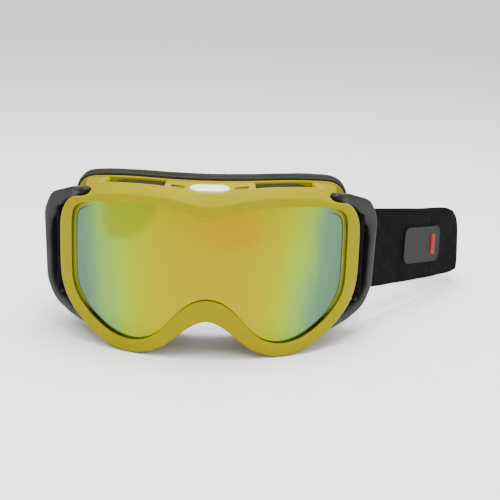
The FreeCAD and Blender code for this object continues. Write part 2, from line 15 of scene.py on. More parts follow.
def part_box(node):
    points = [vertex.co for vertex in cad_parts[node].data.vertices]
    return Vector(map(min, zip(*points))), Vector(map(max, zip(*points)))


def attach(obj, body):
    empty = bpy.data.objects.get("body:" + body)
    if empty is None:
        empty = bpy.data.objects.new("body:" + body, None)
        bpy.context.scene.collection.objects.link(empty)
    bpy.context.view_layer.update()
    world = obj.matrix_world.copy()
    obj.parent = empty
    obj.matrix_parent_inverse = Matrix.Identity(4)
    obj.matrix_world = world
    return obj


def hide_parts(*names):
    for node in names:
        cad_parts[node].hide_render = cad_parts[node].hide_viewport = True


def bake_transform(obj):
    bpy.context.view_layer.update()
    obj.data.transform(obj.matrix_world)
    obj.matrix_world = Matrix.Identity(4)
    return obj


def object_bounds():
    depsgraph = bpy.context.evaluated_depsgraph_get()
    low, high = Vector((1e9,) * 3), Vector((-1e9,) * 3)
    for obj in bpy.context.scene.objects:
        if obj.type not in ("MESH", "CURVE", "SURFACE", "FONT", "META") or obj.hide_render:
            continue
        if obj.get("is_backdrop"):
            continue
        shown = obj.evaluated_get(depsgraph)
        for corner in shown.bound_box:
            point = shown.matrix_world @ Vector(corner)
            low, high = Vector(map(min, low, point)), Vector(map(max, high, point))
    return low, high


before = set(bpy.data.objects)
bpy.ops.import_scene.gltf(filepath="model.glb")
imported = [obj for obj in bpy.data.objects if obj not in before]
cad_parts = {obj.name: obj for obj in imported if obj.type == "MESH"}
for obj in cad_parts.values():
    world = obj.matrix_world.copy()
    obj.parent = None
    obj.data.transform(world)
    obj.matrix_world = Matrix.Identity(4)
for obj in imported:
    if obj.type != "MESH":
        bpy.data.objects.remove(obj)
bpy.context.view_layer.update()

MM = 0.001

rim_low, rim_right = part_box("frame_rim_right")
rim_left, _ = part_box("frame_rim_left")
MIDDLE_X = (rim_left.x + rim_right.x) / 2
FRONT_Y = rim_low.y
BASE_Z = rim_low.z


def at(x, y, z):
    """A point of the measuring frame, in metres in the scene."""
    return Vector((MIDDLE_X + x * MM, FRONT_Y + y * MM, BASE_Z + z * MM))


# ================================================================ shape data

LENS_RADIUS = 112.0
FACE_RADIUS = 105.0
FLANGE_FRONT = 30.0  # the rear flange starts and ends this far behind the rim's front
FLANGE_BACK = 32.5
RIM_DEPTH = 6.0
STRAP_WIDTH = 46.0
SELVEDGE = 3.0  # the plain edge of the webbing, outside its woven figure

RIM = [  # x, z and band width of the rim, from the nose to the top centre
    (0, 21.4, 12.0), (9, 18.0, 10.4), (20, 8.8, 8.2), (31, 2.2, 7.4), (42.5, 0, 7.2),
    (56, 2.6, 7.2), (68, 9.4, 7.4), (78, 18.6, 7.6), (84, 29, 7.8), (86, 45, 8.0),
    (86, 60, 8.0), (84.6, 73, 7.2), (80, 81.2, 5.6), (70, 87, 5.2), (55, 90, 5.4),
    (40, 91.3, 5.8), (20, 90.4, 6.2), (0, 87, 6.5),
]
FACE = [  # x and z of the rear flange, from the nose to the top centre
    (0, 23), (10, 19.5), (21, 10.5), (32, 4.4), (43, 2.6), (56, 5), (67, 11.5), (75.5, 21),
    (79.8, 34), (80.5, 52), (80, 70), (78.4, 81), (73, 88), (62, 91.6), (48, 93.4), (25, 94.1),
    (0, 94.1),
]
HINGE = (70.0, 35.0)  # x and y of the axis that an outrigger swings on
SWING_ANGLE = math.atan2(22, 21.4)
SWING_SLOPE = math.tan(SWING_ANGLE)
TOP_FROM = 72.0  # above this height the rim's outline runs along the brow
BROW_RISE = [  # distance from the middle, and how far the brow stands above the rim
    (0, 5.6), (12, 4.8), (26, 4.5), (40, 4.5), (52, 4.7), (60, 4.5), (64.5, 3.7), (67.5, 0), (90, 0),
]
CORNER_SEAT = (64, 75, 1.7)  # where and how deep the rim's top dips under the outrigger's end
REAR_SEAT = (70, 90, 1.9)  # the same behind the rim, for the outrigger's arm


def bend_of(x, radius):
    """How far back a cylinder of this radius has curved at a distance x from the middle."""
    return radius - np.sqrt(radius ** 2 - np.minimum(np.abs(x), radius * 0.999) ** 2)


def closed_spline(points, per_span=40):
    """A dense closed cubic curve through points of any dimension, with chord lengths as steps."""
    points = np.array(points, float)
    count = len(points)
    after_points = np.roll(points, -1, 0)
    after = np.linalg.norm(after_points[:, :2] - points[:, :2], axis=1)[:, None]
    before = np.roll(after, 1, 0)
    system = np.diag((2 / before + 2 / after)[:, 0])
    for i in range(count):
        system[i, i - 1] += 1 / before[i, 0]
        system[i, (i + 1) % count] += 1 / after[i, 0]
    target = 3 * ((points - np.roll(points, 1, 0)) / before ** 2 + (after_points - points) / after ** 2)
    slopes = np.linalg.solve(system, target)
    leave, arrive = slopes * after, np.roll(slopes, -1, 0) * after
    s = np.linspace(0, 1, per_span, endpoint=False)[:, None]
    curve = ((2 * s ** 3 - 3 * s ** 2 + 1) * points[:, None] + (s ** 3 - 2 * s ** 2 + s) * leave[:, None]
             + (-2 * s ** 3 + 3 * s ** 2) * after_points[:, None] + (s ** 3 - s ** 2) * arrive[:, None])
    return curve.reshape(-1, points.shape[1])


def lengths_along(path):
    """The distance of each point of a path from its start, over its first two directions."""
    return np.r_[0, np.cumsum(np.linalg.norm(np.diff(path[:, :2], axis=0), axis=1))]


def sample(path, lengths, wanted):
    """The points of a path at wanted distances from its start."""
    return np.stack([np.interp(wanted, lengths, column) for column in path.T], -1)


def directions(path):
    """The unit direction along a path at each of its points."""
    along = np.gradient(path, axis=0)
    return along / np.linalg.norm(along, axis=1)[:, None]


def mirrored(half):
    """A whole loop from its right half."""
    half = [tuple(point) for point in half]
    return half + [(-point[0],) + point[1:] for point in reversed(half[1:-1])]


HALF_STATIONS = 360


def stations(half):
    """Evenly spaced points round a mirrored loop, starting at the nose and going right."""
    dense = closed_spline(mirrored(half))
    span = len(dense) // 2
    right = dense[:span + 1]
    lengths = lengths_along(right)
    right = sample(right, lengths, np.linspace(0, lengths[-1], HALF_STATIONS + 1))
    right[0, 0] = right[-1, 0] = 0
    left = right[-2:0:-1].copy()
    left[:, 0] *= -1
    return np.vstack([right, left])


def inward(loop):
    """The unit directions pointing into a loop that runs anticlockwise from the front."""
    along = np.roll(loop[:, :2], -1, 0) - np.roll(loop[:, :2], 1, 0)
    along /= np.linalg.norm(along, axis=1)[:, None]
    return np.stack([-along[:, 1], along[:, 0]], 1)


rim = stations(RIM)
rim_in = inward(rim)
rim_side = np.abs(rim[:, 0])
on_top = rim[:, 1] > TOP_FROM
band = rim[:, 2]
face = stations(FACE)
face_in = inward(face)
COUNT = len(rim)


def smooth_round(values, passes):
    """Soften a list of values that runs round a loop."""
    for _ in range(passes):
        values = (np.roll(values, 1) + 2 * values + np.roll(values, -1)) / 4
    return values


def dip(low, high, depth, passes):
    """A softened dip in the rim's top between two distances from the middle."""
    return smooth_round(depth * (on_top * (rim_side > low) * (rim_side < high)), passes)


brow = smooth_round(np.interp(rim_side, *zip(*BROW_RISE)) * on_top, 16)
corner_seat = dip(*CORNER_SEAT, 30)
rear_seat = corner_seat + dip(*REAR_SEAT, 40)


def rim_point(depth_in):
    """x and z of the loop moved inwards from the rim's outline by a distance for each station."""
    return rim[:, :2] + rim_in * np.broadcast_to(depth_in, (COUNT,))[:, None]


def on_curve(flat, behind, radius):
    """Points over x and z, on a cylinder's curve a distance behind the rim's front surface."""
    return np.stack([flat[:, 0], bend_of(flat[:, 0], radius) + behind, flat[:, 1]], 1)


def on_lens(flat, behind):
    """Points over x and z, on a surface that follows the lens."""
    return on_curve(flat, behind, LENS_RADIUS)


def on_face(flat, behind):
    """Points over x and z, on a surface that follows the face."""
    return on_curve(flat, behind, FACE_RADIUS)


# ================================================================ mesh helpers

def scene_points(points):
    """Measuring-frame points as scene points."""
    points = np.asarray(points, float) * MM
    return points + np.array([MIDDLE_X, FRONT_Y, BASE_Z])


def new_object(name, points, faces, smooth=True, uvs=None):
    """A mesh object from measuring-frame points."""
    mesh = bpy.data.meshes.new(name)
    mesh.from_pydata([tuple(p) for p in scene_points(points)], [], faces)
    if uvs is not None:
        layer = mesh.uv_layers.new(name="UVMap")
        for loop in mesh.loops:
            layer.data[loop.index].uv = uvs[loop.vertex_index]
    mesh.validate()
    for polygon in mesh.polygons:
        polygon.use_smooth = smooth
    item = link(name, mesh)
    fix_normals(item)
    return item


def fix_normals(item):
    """Make every face of a closed mesh point outwards."""
    work = bmesh.new()
    work.from_mesh(item.data)
    bmesh.ops.recalc_face_normals(work, faces=work.faces)
    work.to_mesh(item.data)
    work.free()


def skin(name, rings, closed_rings=True, closed_loop=True, cap=False, uvs=None):
    """A surface through rings of points: rings[k] is the k-th line of the cross-section."""
    rings = np.asarray(rings, float)
    lines, count = rings.shape[0], rings.shape[1]
    faces = []
    for k in range(lines if closed_rings else lines - 1):
        after = (k + 1) % lines
        for i in range(count if closed_loop else count - 1):
            j = (i + 1) % count
            faces.append((k * count + i, k * count + j, after * count + j, after * count + i))
    if cap:
        faces.append(tuple(k * count for k in range(lines)))
        faces.append(tuple(k * count + count - 1 for k in reversed(range(lines))))
    flat_uvs = None if uvs is None else np.asarray(uvs, float).reshape(-1, 2)
    item = new_object(name, rings.reshape(-1, 3), faces, uvs=flat_uvs)
    if cap:
        for polygon in item.data.polygons:
            polygon.use_smooth = len(polygon.vertices) == 4
    return item


def ease(value, low, high):
    """A smooth step from 0 below low to 1 above high."""
    share = np.clip((value - low) / (high - low), 0, 1)
    return share * share * (3 - 2 * share)


def turn_points(count, offset=0.0):
    """The cosine and sine of evenly spaced angles round a full turn."""
    angles = [2 * math.pi * (k + offset) / count for k in range(count)]
    return [(math.cos(angle), math.sin(angle)) for angle in angles]


def tube_faces(rows, around, base=0):
    """The faces of a closed tube made of rows of points, with both ends filled."""
    faces = []
    for row in range(rows - 1):
        for k in range(around):
            a, b = base + row * around + k, base + row * around + (k + 1) % around
            faces.append((a, b, b + around, a + around))
    faces.append(tuple(base + k for k in reversed(range(around))))
    faces.append(tuple(base + (rows - 1) * around + k for k in range(around)))
    return faces


def rounded_box(half_long, half_high, radius, per_corner):
    """The outline of a box with rounded corners, in two directions round its middle."""
    outline = []
    for along, up, start in ((1, 1, 0), (-1, 1, 90), (-1, -1, 180), (1, -1, 270)):
        for angle in np.radians(np.linspace(start, start + 90, per_corner)):
            outline.append((along * (half_long - radius) + radius * math.cos(angle),
                            up * (half_high - radius) + radius * math.sin(angle)))
    return np.array(outline)


def modify(item, kind, **settings):
    """Apply a modifier to a mesh."""
    modifier = item.modifiers.new(kind.lower(), kind)
    for key, value in settings.items():
        setattr(modifier, key, value)
    bpy.context.view_layer.objects.active = item
    bpy.ops.object.modifier_apply(modifier=modifier.name)


def carve(item, tool):
    """Cut one mesh out of another and drop the tool."""
    modify(item, "BOOLEAN", operation="DIFFERENCE", solver="EXACT", object=tool)
    bpy.data.objects.remove(tool, do_unlink=True)


def link(name, data):
    """A new object in the scene."""
    item = bpy.data.objects.new(name, data)
    bpy.context.collection.objects.link(item)
    return item


# ================================================================ materials

class Nodes:
    """A small helper that adds and links shader nodes."""

    def __init__(self, name):
        self.material = bpy.data.materials.new(name)
        self.material.use_nodes = True
        self.tree = self.material.node_tree
        self.tree.nodes.clear()
        self.shader = self.add("ShaderNodeBsdfPrincipled")
        output = self.add("ShaderNodeOutputMaterial")
        self.feed(output.inputs[0], self.shader.outputs[0])

    def feed(self, socket, value):
        """Link a socket to another one's output, or set its constant."""
        if isinstance(value, bpy.types.NodeSocket):
            self.tree.links.new(value, socket)
        else:
            socket.default_value = value

    def add(self, kind, inputs=None, **settings):
        node = self.tree.nodes.new(kind)
        for key, value in settings.items():
            setattr(node, key, value)
        for key, value in (inputs or {}).items():
            self.feed(node.inputs[key], value)
        return node

    def done(self, **values):
        """Set constant values on the shader's own sockets and give back the material."""
        for key, value in values.items():
            self.shader.inputs[key.replace("_", " ")].default_value = value
        return self.material

    def place(self, scale=(1, 1, 1), source="Object"):
        """Texture coordinates, scaled."""
        coordinates = self.add("ShaderNodeTexCoord")
        mapping = self.add("ShaderNodeMapping", {"Vector": coordinates.outputs[source],
                                                 "Scale": scale})
        return mapping.outputs[0]

    def noise(self, vector, scale, detail=3.0, rough=0.55):
        return self.add("ShaderNodeTexNoise", {"Vector": vector, "Scale": scale, "Detail": detail,
                                               "Roughness": rough}).outputs["Fac"]

    def range(self, value, low, high, to_low, to_high):
        return self.add("ShaderNodeMapRange", {"Value": value, "From Min": low, "From Max": high,
                                               "To Min": to_low, "To Max": to_high}).outputs[0]

    def maths(self, operation, first, second=0.0):
        node = self.add("ShaderNodeMath", operation=operation)
        self.feed(node.inputs[0], first)
        self.feed(node.inputs[1], second)
        return node.outputs[0]

    def ramp(self, value, stops):
        """A colour ramp; stops are (place, colour)."""
        node = self.add("ShaderNodeValToRGB", {"Fac": value})
        elements = node.color_ramp.elements
        elements[0].position, elements[0].color = stops[0][0], tuple(stops[0][1]) + (1,)
        elements[1].position, elements[1].color = stops[-1][0], tuple(stops[-1][1]) + (1,)
        for place, colour in stops[1:-1]:
            elements.new(place).color = tuple(colour) + (1,)
        return node.outputs[0]

    def mix(self, factor, first, second):
        node = self.add("ShaderNodeMix", data_type="RGBA")
        for index, value in ((0, factor), (6, first), (7, second)):
            self.feed(node.inputs[index], tuple(value) + (1,) if isinstance(value, tuple) else value)
        return node.outputs[2]

    def colour(self, source):
        self.feed(self.shader.inputs["Base Color"], source)

    def rough(self, source):
        self.feed(self.shader.inputs["Roughness"], source)

    def bump(self, height, distance, strength=1.0):
        """Small relief from a pattern."""
        node = self.add("ShaderNodeBump", {"Height": height, "Distance": distance, "Strength": strength})
        self.feed(self.shader.inputs["Normal"], node.outputs[0])


def yellow_frame():
    """Satin moulded elastomer with a fine grain and faint handling marks."""
    n = Nodes("frame_yellow")
    place = n.place()
    broad = n.noise(place, 22, 2)
    fine = n.noise(place, 2600, 3)
    marks = n.noise(n.place((1, 1, 6)), 160, 5, 0.7)
    tint = n.mix(n.range(broad, 0.35, 0.65, 0.0, 1.0), (0.236, 0.200, 0.0), (0.258, 0.222, 0.0))
    n.colour(n.mix(n.range(marks, 0.62, 0.8, 0.0, 0.2), tint, (0.19, 0.155, 0.0)))
    n.rough(n.range(marks, 0.3, 0.8, 0.36, 0.5))
    n.bump(fine, 0.00003, 0.55)
    return n.done(Specular_IOR_Level=0.03)


LENS_GAIN = 0.47


def lens_tint(colour):
    """A wanted brightness turned into the mirror's reflectance."""
    return tuple(value * LENS_GAIN for value in colour)


def lens_stops(stops):
    """Ramp stops for the mirror."""
    return [(place, lens_tint(colour)) for place, colour in stops]


def mirror_lens():
    """Iridescent mirror: orange in the middle, through yellow and green to blue at the sides. Painted
    reflections lie over it: fine streaks, a darker olive zone at the top left and, at the sides, an olive
    band for the yellow lip's reflection between painted dark lines of shade.
    """
    n = Nodes("lens_mirror")
    fact = {}
    for name in ("reach", "height", "edge", "flank", "painted_reflection", "warm"):
        fact[name] = n.add("ShaderNodeAttribute", attribute_name=name).outputs["Fac"]
    # Painted reflection: fine upright streaks that shift the bands, as reflections run along the curved
    # lens.
    reflection_streaks = n.noise(n.place((1, 1, 0.08)), 95, 2)
    clouds = n.noise(n.place((1, 1, 0.6)), 20, 2)
    place = n.maths("ADD", fact["reach"], n.range(reflection_streaks, 0.3, 0.7, -0.035, 0.035))
    place = n.maths("ADD", place, n.range(clouds, 0.3, 0.7, -0.05, 0.05))
    place = n.maths("ADD", place, n.range(fact["height"], 0.1, 0.95, 0.10, -0.07))
    bands = n.ramp(place, lens_stops([(0.0, (0.58, 0.44, 0.0)), (0.20, (0.58, 0.46, 0.0)),
                                      (0.38, (0.56, 0.50, 0.0)), (0.50, (0.54, 0.56, 0.0)),
                                      (0.61, (0.47, 0.66, 0.01)), (0.69, (0.37, 0.64, 0.06)),
                                      (0.77, (0.27, 0.52, 0.13)), (0.86, (0.18, 0.35, 0.19)),
                                      (1.0, (0.14, 0.25, 0.17))]))
    warmed = n.mix(n.maths("MULTIPLY", fact["warm"], 0.6), bands, lens_tint((0.66, 0.32, 0.0)))
    # Painted reflection: a darker olive zone at the lens's top left, blended over the bands.
    reflection_painted = n.mix(n.maths("MULTIPLY", fact["painted_reflection"], 0.8), warmed, lens_tint((0.36, 0.42, 0.01)))
    # Painted reflection and shade at the lens's sides: an olive band stands in for the yellow lip's
    # reflection, between painted dark lines of shade at the rim and at the band's inner edge.
    border = n.ramp(fact["edge"], lens_stops([(0.0, (0.22, 0.24, 0.01)), (0.08, (0.40, 0.44, 0.02)),
                                              (0.20, (0.38, 0.42, 0.02)), (0.235, (0.07, 0.10, 0.05)),
                                              (0.265, (0.06, 0.09, 0.05)), (0.30, (0.14, 0.25, 0.17)),
                                              (1.0, (0.14, 0.25, 0.17))]))
    # The painted lip reflection shows at the sides only; there the mirror is made less metallic so that
    # the painted colour shows.
    painted_lip_reflection = n.maths("MULTIPLY", n.range(fact["edge"], 0.26, 0.31, 1.0, 0.0), fact["flank"])
    n.colour(n.mix(painted_lip_reflection, reflection_painted, border))
    n.feed(n.shader.inputs["Metallic"], n.range(painted_lip_reflection, 0.0, 1.0, 1.0, 0.2))
    smear = n.noise(n.place(), 60, 4, 0.6)
    n.rough(n.range(smear, 0.3, 0.75, 0.11, 0.18))
    return n.done(Specular_IOR_Level=0.05)


def foam(name, colour, cell=1400, depth=0.00025):
    """Open-cell foam: small dark pores over a soft body."""
    n = Nodes(name)
    place = n.place()
    cells = n.add("ShaderNodeTexVoronoi", {"Vector": place, "Scale": cell}).outputs["Distance"]
    lumps = n.noise(place, 120, 3)
    dark = tuple(value * 0.5 for value in colour)
    shade = n.mix(n.range(cells, 0.15, 0.6, 0.0, 1.0), dark, colour)
    n.colour(n.mix(n.range(lumps, 0.35, 0.7, 0.0, 0.35), shade, tuple(v * 1.4 for v in colour)))
    n.bump(cells, depth, 0.8)
    return n.done(Roughness=0.95, Specular_IOR_Level=0.1)


def fleece_cloth():
    """Brushed fleece: fine curly fibres that catch the light at the edge."""
    n = Nodes("fleece")
    place = n.place()
    curls = n.noise(place, 1500, 6, 0.7)
    tufts = n.noise(place, 260, 3)
    n.colour(n.mix(n.range(curls, 0.35, 0.7, 0.0, 1.0), (0.010, 0.010, 0.009), (0.034, 0.034, 0.029)))
    height = n.maths("ADD", n.maths("MULTIPLY", curls, 0.5), tufts)
    n.bump(height, 0.0005, 0.7)
    return n.done(Roughness=1.0, Sheen_Weight=0.05, Sheen_Roughness=0.5, Specular_IOR_Level=0.1)


def grey_plastic(name, colour, roughness=0.42):
    """Moulded nylon with an even grain, slightly polished by handling."""
    n = Nodes(name)
    place = n.place()
    grain = n.noise(place, 3000, 2)
    rub = n.noise(place, 90, 4, 0.65)
    lighter = tuple(value * 1.5 + 0.002 for value in colour)
    n.colour(n.mix(n.range(rub, 0.4, 0.75, 0.0, 0.6), colour, lighter))
    n.rough(n.range(rub, 0.3, 0.75, roughness + 0.06, roughness - 0.1))
    n.bump(grain, 0.00004, 0.6)
    return n.done(Specular_IOR_Level=0.16)


def woven_strap():
    """Ribbed elastic webbing with a tone-on-tone woven figure; u runs along it, v across, in mm."""
    n = Nodes("strap_webbing")
    coordinates = n.add("ShaderNodeTexCoord").outputs["UV"]
    split = n.add("ShaderNodeSeparateXYZ", {"Vector": coordinates})
    u, v = split.outputs[0], split.outputs[1]
    rib = n.maths("SINE", n.maths("MULTIPLY", v, 2 * math.pi / 1.15))
    pick = n.maths("SINE", n.maths("MULTIPLY", u, 2 * math.pi / 0.7))
    weave = n.maths("MULTIPLY", rib, pick)
    stretched = n.add("ShaderNodeMapping", {"Vector": coordinates, "Scale": (0.09, 0.16, 1)}).outputs[0]
    wander = n.noise(stretched, 1.0, 2)
    slant = n.maths("ADD", n.maths("MULTIPLY", u, 0.55), n.maths("MULTIPLY", v, 0.8))
    figure = n.maths("SINE", n.maths("ADD", n.maths("MULTIPLY", slant, 0.55),
                                     n.maths("MULTIPLY", wander, 16.0)))
    figure = n.range(figure, 0.15, 0.6, 0.0, 1.0)
    from_middle = n.maths("ABSOLUTE", n.maths("SUBTRACT", v, STRAP_WIDTH / 2))
    edge = STRAP_WIDTH / 2 - SELVEDGE
    inside = n.range(from_middle, edge - 0.4, edge + 0.4, 1.0, 0.0)
    mask = n.maths("MULTIPLY", figure, inside)
    yarn = n.range(weave, -0.6, 0.8, 0.0, 1.0)
    ground = n.mix(yarn, (0.0007, 0.0007, 0.0008), (0.0020, 0.0020, 0.0022))
    raised = n.mix(yarn, (0.0018, 0.0018, 0.002), (0.0052, 0.0052, 0.0056))
    n.colour(n.mix(mask, ground, raised))
    height = n.maths("ADD", n.maths("MULTIPLY", weave, 0.5), mask)
    n.bump(height, 0.00022, 0.8)
    return n.done(Roughness=0.85, Specular_IOR_Level=0.07)


def patch_cloth():
    """A plain woven patch with a heat-pressed look."""
    n = Nodes("patch_grey")
    place = n.place()
    twill = n.add("ShaderNodeTexWave", {"Vector": place, "Scale": 420.0, "Distortion": 1.0},
                  bands_direction="DIAGONAL").outputs["Fac"]
    n.colour(n.mix(twill, (0.009, 0.009, 0.010), (0.016, 0.016, 0.018)))
    n.bump(twill, 0.0001, 0.6)
    return n.done(Roughness=0.6, Specular_IOR_Level=0.15)


def red_tab():
    """A small glossy rubber tab."""
    n = Nodes("tab_red")
    mottle = n.noise(n.place(), 300, 3)
    n.colour(n.mix(mottle, (0.19, 0.002, 0.005), (0.26, 0.003, 0.007)))
    n.bump(n.noise(n.place(), 2200, 2), 0.00004, 0.5)
    return n.done(Roughness=0.42, Specular_IOR_Level=0.1)


def pale_badge():
    """A blank glossy moulded dome: its pale colour is partly its own and partly a painted highlight,
    standing in for the glare on the bridge's top.
    """
    n = Nodes("badge_pale")
    cloud = n.noise(n.place(), 90, 3)
    # Pale colour, partly a painted highlight of the glare on the bridge's top.
    n.colour(n.mix(cloud, (0.86, 0.85, 0.70), (0.95, 0.95, 0.88)))
    n.rough(n.range(n.noise(n.place(), 240, 4), 0.3, 0.8, 0.12, 0.24))
    return n.done(Coat_Weight=0.6, Coat_Roughness=0.06)


def steel_pin():
    """Drawn steel with fine marks along the pin."""
    n = Nodes("pin_steel")
    lines = n.noise(n.place((1, 1, 0.05)), 2500, 2)
    n.colour(n.mix(lines, (0.42, 0.42, 0.43), (0.62, 0.62, 0.63)))
    n.rough(n.range(lines, 0.3, 0.7, 0.25, 0.42))
    return n.done(Metallic=1.0)


def silicone():
    """Tacky silicone lines on the strap's head side."""
    n = Nodes("grip_silicone")
    blur = n.noise(n.place(), 400, 3)
    n.colour(n.mix(blur, (0.012, 0.012, 0.013), (0.03, 0.03, 0.032)))
    n.bump(blur, 0.00008, 0.5)
    return n.done(Roughness=0.3)


def thread():
    """Twisted waxed thread."""
    n = Nodes("thread")
    twist = n.add("ShaderNodeTexWave", {"Vector": n.place(), "Scale": 1600.0},
                  bands_direction="DIAGONAL").outputs["Fac"]
    n.colour(n.mix(twist, (0.008, 0.008, 0.008), (0.035, 0.035, 0.035)))
    n.bump(twist, 0.00008, 0.7)
    return n.done(Roughness=0.6)


def clear_pane():
    """The clear inner lens."""
    n = Nodes("lens_clear")
    haze = n.noise(n.place(), 80, 3)
    n.rough(n.range(haze, 0.3, 0.8, 0.03, 0.09))
    return n.done(Base_Color=(0.93, 0.94, 0.90, 1), Transmission_Weight=1.0, IOR=1.49)


MATERIALS = {
    "frame_yellow": yellow_frame(), "lens_mirror": mirror_lens(), "lens_clear": clear_pane(),
    "foam_dark": foam("foam_dark", (0.024, 0.024, 0.018)), "fleece": fleece_cloth(),
    # The gasket's olive colour is a painted reflection, standing in for the yellow lip's reflection
    # beside the lens.
    "gasket_lip_reflection": foam("gasket_lip_reflection", (0.20, 0.20, 0.01), 1800, 0.0001),
    "vent_foam": foam("vent_foam", (0.022, 0.020, 0.006), 900, 0.0004),
    "outrigger_grey": grey_plastic("outrigger_grey", (0.0085, 0.009, 0.0088)),
    "adjuster_black": grey_plastic("adjuster_black", (0.006, 0.006, 0.0065), 0.36),
    "strap_webbing": woven_strap(), "patch_grey": patch_cloth(), "tab_red": red_tab(),
    "badge_pale": pale_badge(), "pin_steel": steel_pin(), "grip_silicone": silicone(),
    "thread": thread(),
}


def finish_piece(item, body, slot, *nodes, material=None):
    """Give a piece its material, the one named by slot unless another is given, attach it to its body if
    it has one and hide the CAD nodes that it stands for.
    """
    item.data.materials.clear()
    item.data.materials.append(MATERIALS[material or slot])
    if body:
        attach(item, body)
    if nodes:
        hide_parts(*nodes)
    return item


# ================================================================ frame

def arc_weights(count=5):
    """Quadratic corner weights: how much of the start, corner and end each point takes."""
    return [((1 - s) ** 2, 2 * s * (1 - s), s ** 2) for s in np.linspace(0, 1, count)]


def rounded_rings(section, count=5):
    """Rings of a cross-section given as (line of points, corner radius) pairs."""
    rings = []
    lines = [line for line, _ in section]
    total = len(lines)
    for i, (line, radius) in enumerate(section):
        if radius <= 0:
            rings.append(line)
            continue
        before, after = lines[i - 1] - line, lines[(i + 1) % total] - line
        before_length = np.linalg.norm(before, axis=1)[:, None]
        after_length = np.linalg.norm(after, axis=1)[:, None]
        start = line + before / before_length * np.minimum(radius, before_length * 0.45)
        end = line + after / after_length * np.minimum(radius, after_length * 0.45)
        for first, corner, last in arc_weights(count):
            rings.append(first * start + corner * line + last * end)
    return rings


GROOVE = (2.25, 3.9)  # front and back of the lens groove, behind the rim's front
GROOVE_DEPTH = 3.0
WALL = 1.0  # how far the walls stand outside the opening
WALL_STEP = 1.5  # how far the walls' inner side stands inside it
BROW_FULL = 4.4  # the rise at which the brow reaches its full depth
BROW_DEPTH = 2.0
BADGE_BRIDGE = (25.0, 26.6)  # the top is solid out to here, on both sides of the badge
VENT_END = (57.6, 59.2)  # and again from here, where the long vent ends
CORNER_BRIDGE = (62.8, 65.2)  # and ends here, where the outrigger's arm crosses the corner
CORNER_SHELF = (74.0, 77.0)  # the slope behind the outrigger's arm fades out here
ARM_CLEARANCE = 6.0  # how far that slope stays behind the arm's middle line
BRIDGE_FRONT = 8.6  # where the bridge starts, behind the rim's front
BRIDGE_SHARE, BROW_SHARE = 0.80, 0.70  # heights of the bridge's and brow's rear edges over the brow's


def frame_shell():
    """The whole yellow moulding: rim, brow, lens groove, walls, rear flange and top bridge."""
    groove_front, groove_back = GROOVE
    brow_share = np.clip(brow / BROW_FULL, 0, 1)
    past_vent = on_top * ease(rim_side, *VENT_END)
    bridge = (on_top * (1 - ease(rim_side, *BADGE_BRIDGE))
              + past_vent * (1 - ease(rim_side, *CORNER_BRIDGE)))[:, None]
    shelf = (past_vent * (1 - ease(rim_side, *CORNER_SHELF)))[:, None]
    solid = np.maximum(bridge, shelf)
    wall_front = on_lens(rim_point(band - WALL), RIM_DEPTH + 0.2 + BROW_DEPTH * brow_share)
    wall_rear = on_face(rim_point(band - WALL), FLANGE_FRONT)
    bridge_front = on_lens(rim_point(-brow * BRIDGE_SHARE), BRIDGE_FRONT)
    bridge_rear = on_face(face[:, :2] - (0, 0.6), FLANGE_FRONT)
    front_line = wall_front * (1 - bridge) + bridge_front * bridge
    rear_line = wall_rear * (1 - solid) + bridge_rear * solid
    foot = front_line.copy()
    foot[:, 1] = np.clip(HINGE[1] + ARM_CLEARANCE + (rim_side - HINGE[0]) * SWING_SLOPE,
                         front_line[:, 1] + 0.5, rear_line[:, 1] - 1.0)
    foot[:, 2] = np.minimum(front_line[:, 2], rim[:, 1] - band * 0.75 + bridge[:, 0] * 20)
    foot = foot * shelf + (0.5 * front_line + 0.5 * rear_line) * (1 - shelf)
    section = [  # the lens groove and the wall's inner side
        (on_lens(rim_point(band), groove_front), 0.0),
        (on_lens(rim_point(band - GROOVE_DEPTH), groove_front), 0.0),
        (on_lens(rim_point(band - GROOVE_DEPTH), groove_back), 0.0),
        (on_lens(rim_point(band), groove_back), 0.4),
        (on_lens(rim_point(band), RIM_DEPTH), 0.4),
        (on_lens(rim_point(band + WALL_STEP), RIM_DEPTH + 0.8), 0.4),
        (on_face(rim_point(band + WALL_STEP), FLANGE_BACK), 0.5),
        # the rear flange, and the wall's outer side or the bridge
        (on_face(face[:, :2], FLANGE_BACK), 0.9),
        (on_face(face[:, :2], FLANGE_FRONT), 0.9),
        (rear_line, 0.6),
        (foot, 0.8),
        (front_line, 0.5),
        # the brow and the rim's front
        (on_lens(rim_point(rear_seat - brow * BROW_SHARE + 0.4 * (1 - brow_share)),
                 RIM_DEPTH + BROW_DEPTH * brow_share), 0.7),
        (on_lens(rim_point(rear_seat * 0.6 + corner_seat * 0.4 - brow), RIM_DEPTH * 0.92), 0.8),
        (on_lens(rim_point(corner_seat), 0.75), 0.9),
        (on_lens(rim_point(corner_seat + 0.9), 0.0), 0.6),
        (on_lens(rim_point(band * 0.5), -0.12), 0.0),
        (on_lens(rim_point(band), 0.0), 1.3),
    ]
    item = skin("frame_shell", rounded_rings(section))
    cut_windows(item)
    cut_recesses(item)
    return finish_piece(item, "root", "frame_yellow", "frame_rim_right", "frame_rim_left",
                        "frame_body_right", "frame_body_left", "rear_flange")


WINDOWS = {  # the x and z spans of the vent windows
    "bottom": ((26, 58), (0, 22)), "side": ((70, 90), (42, 58)), "top": ((28, 57), (80, 89)),
}
WINDOW_MARGIN = 3.0  # what is left of the wall in front of a window and behind it


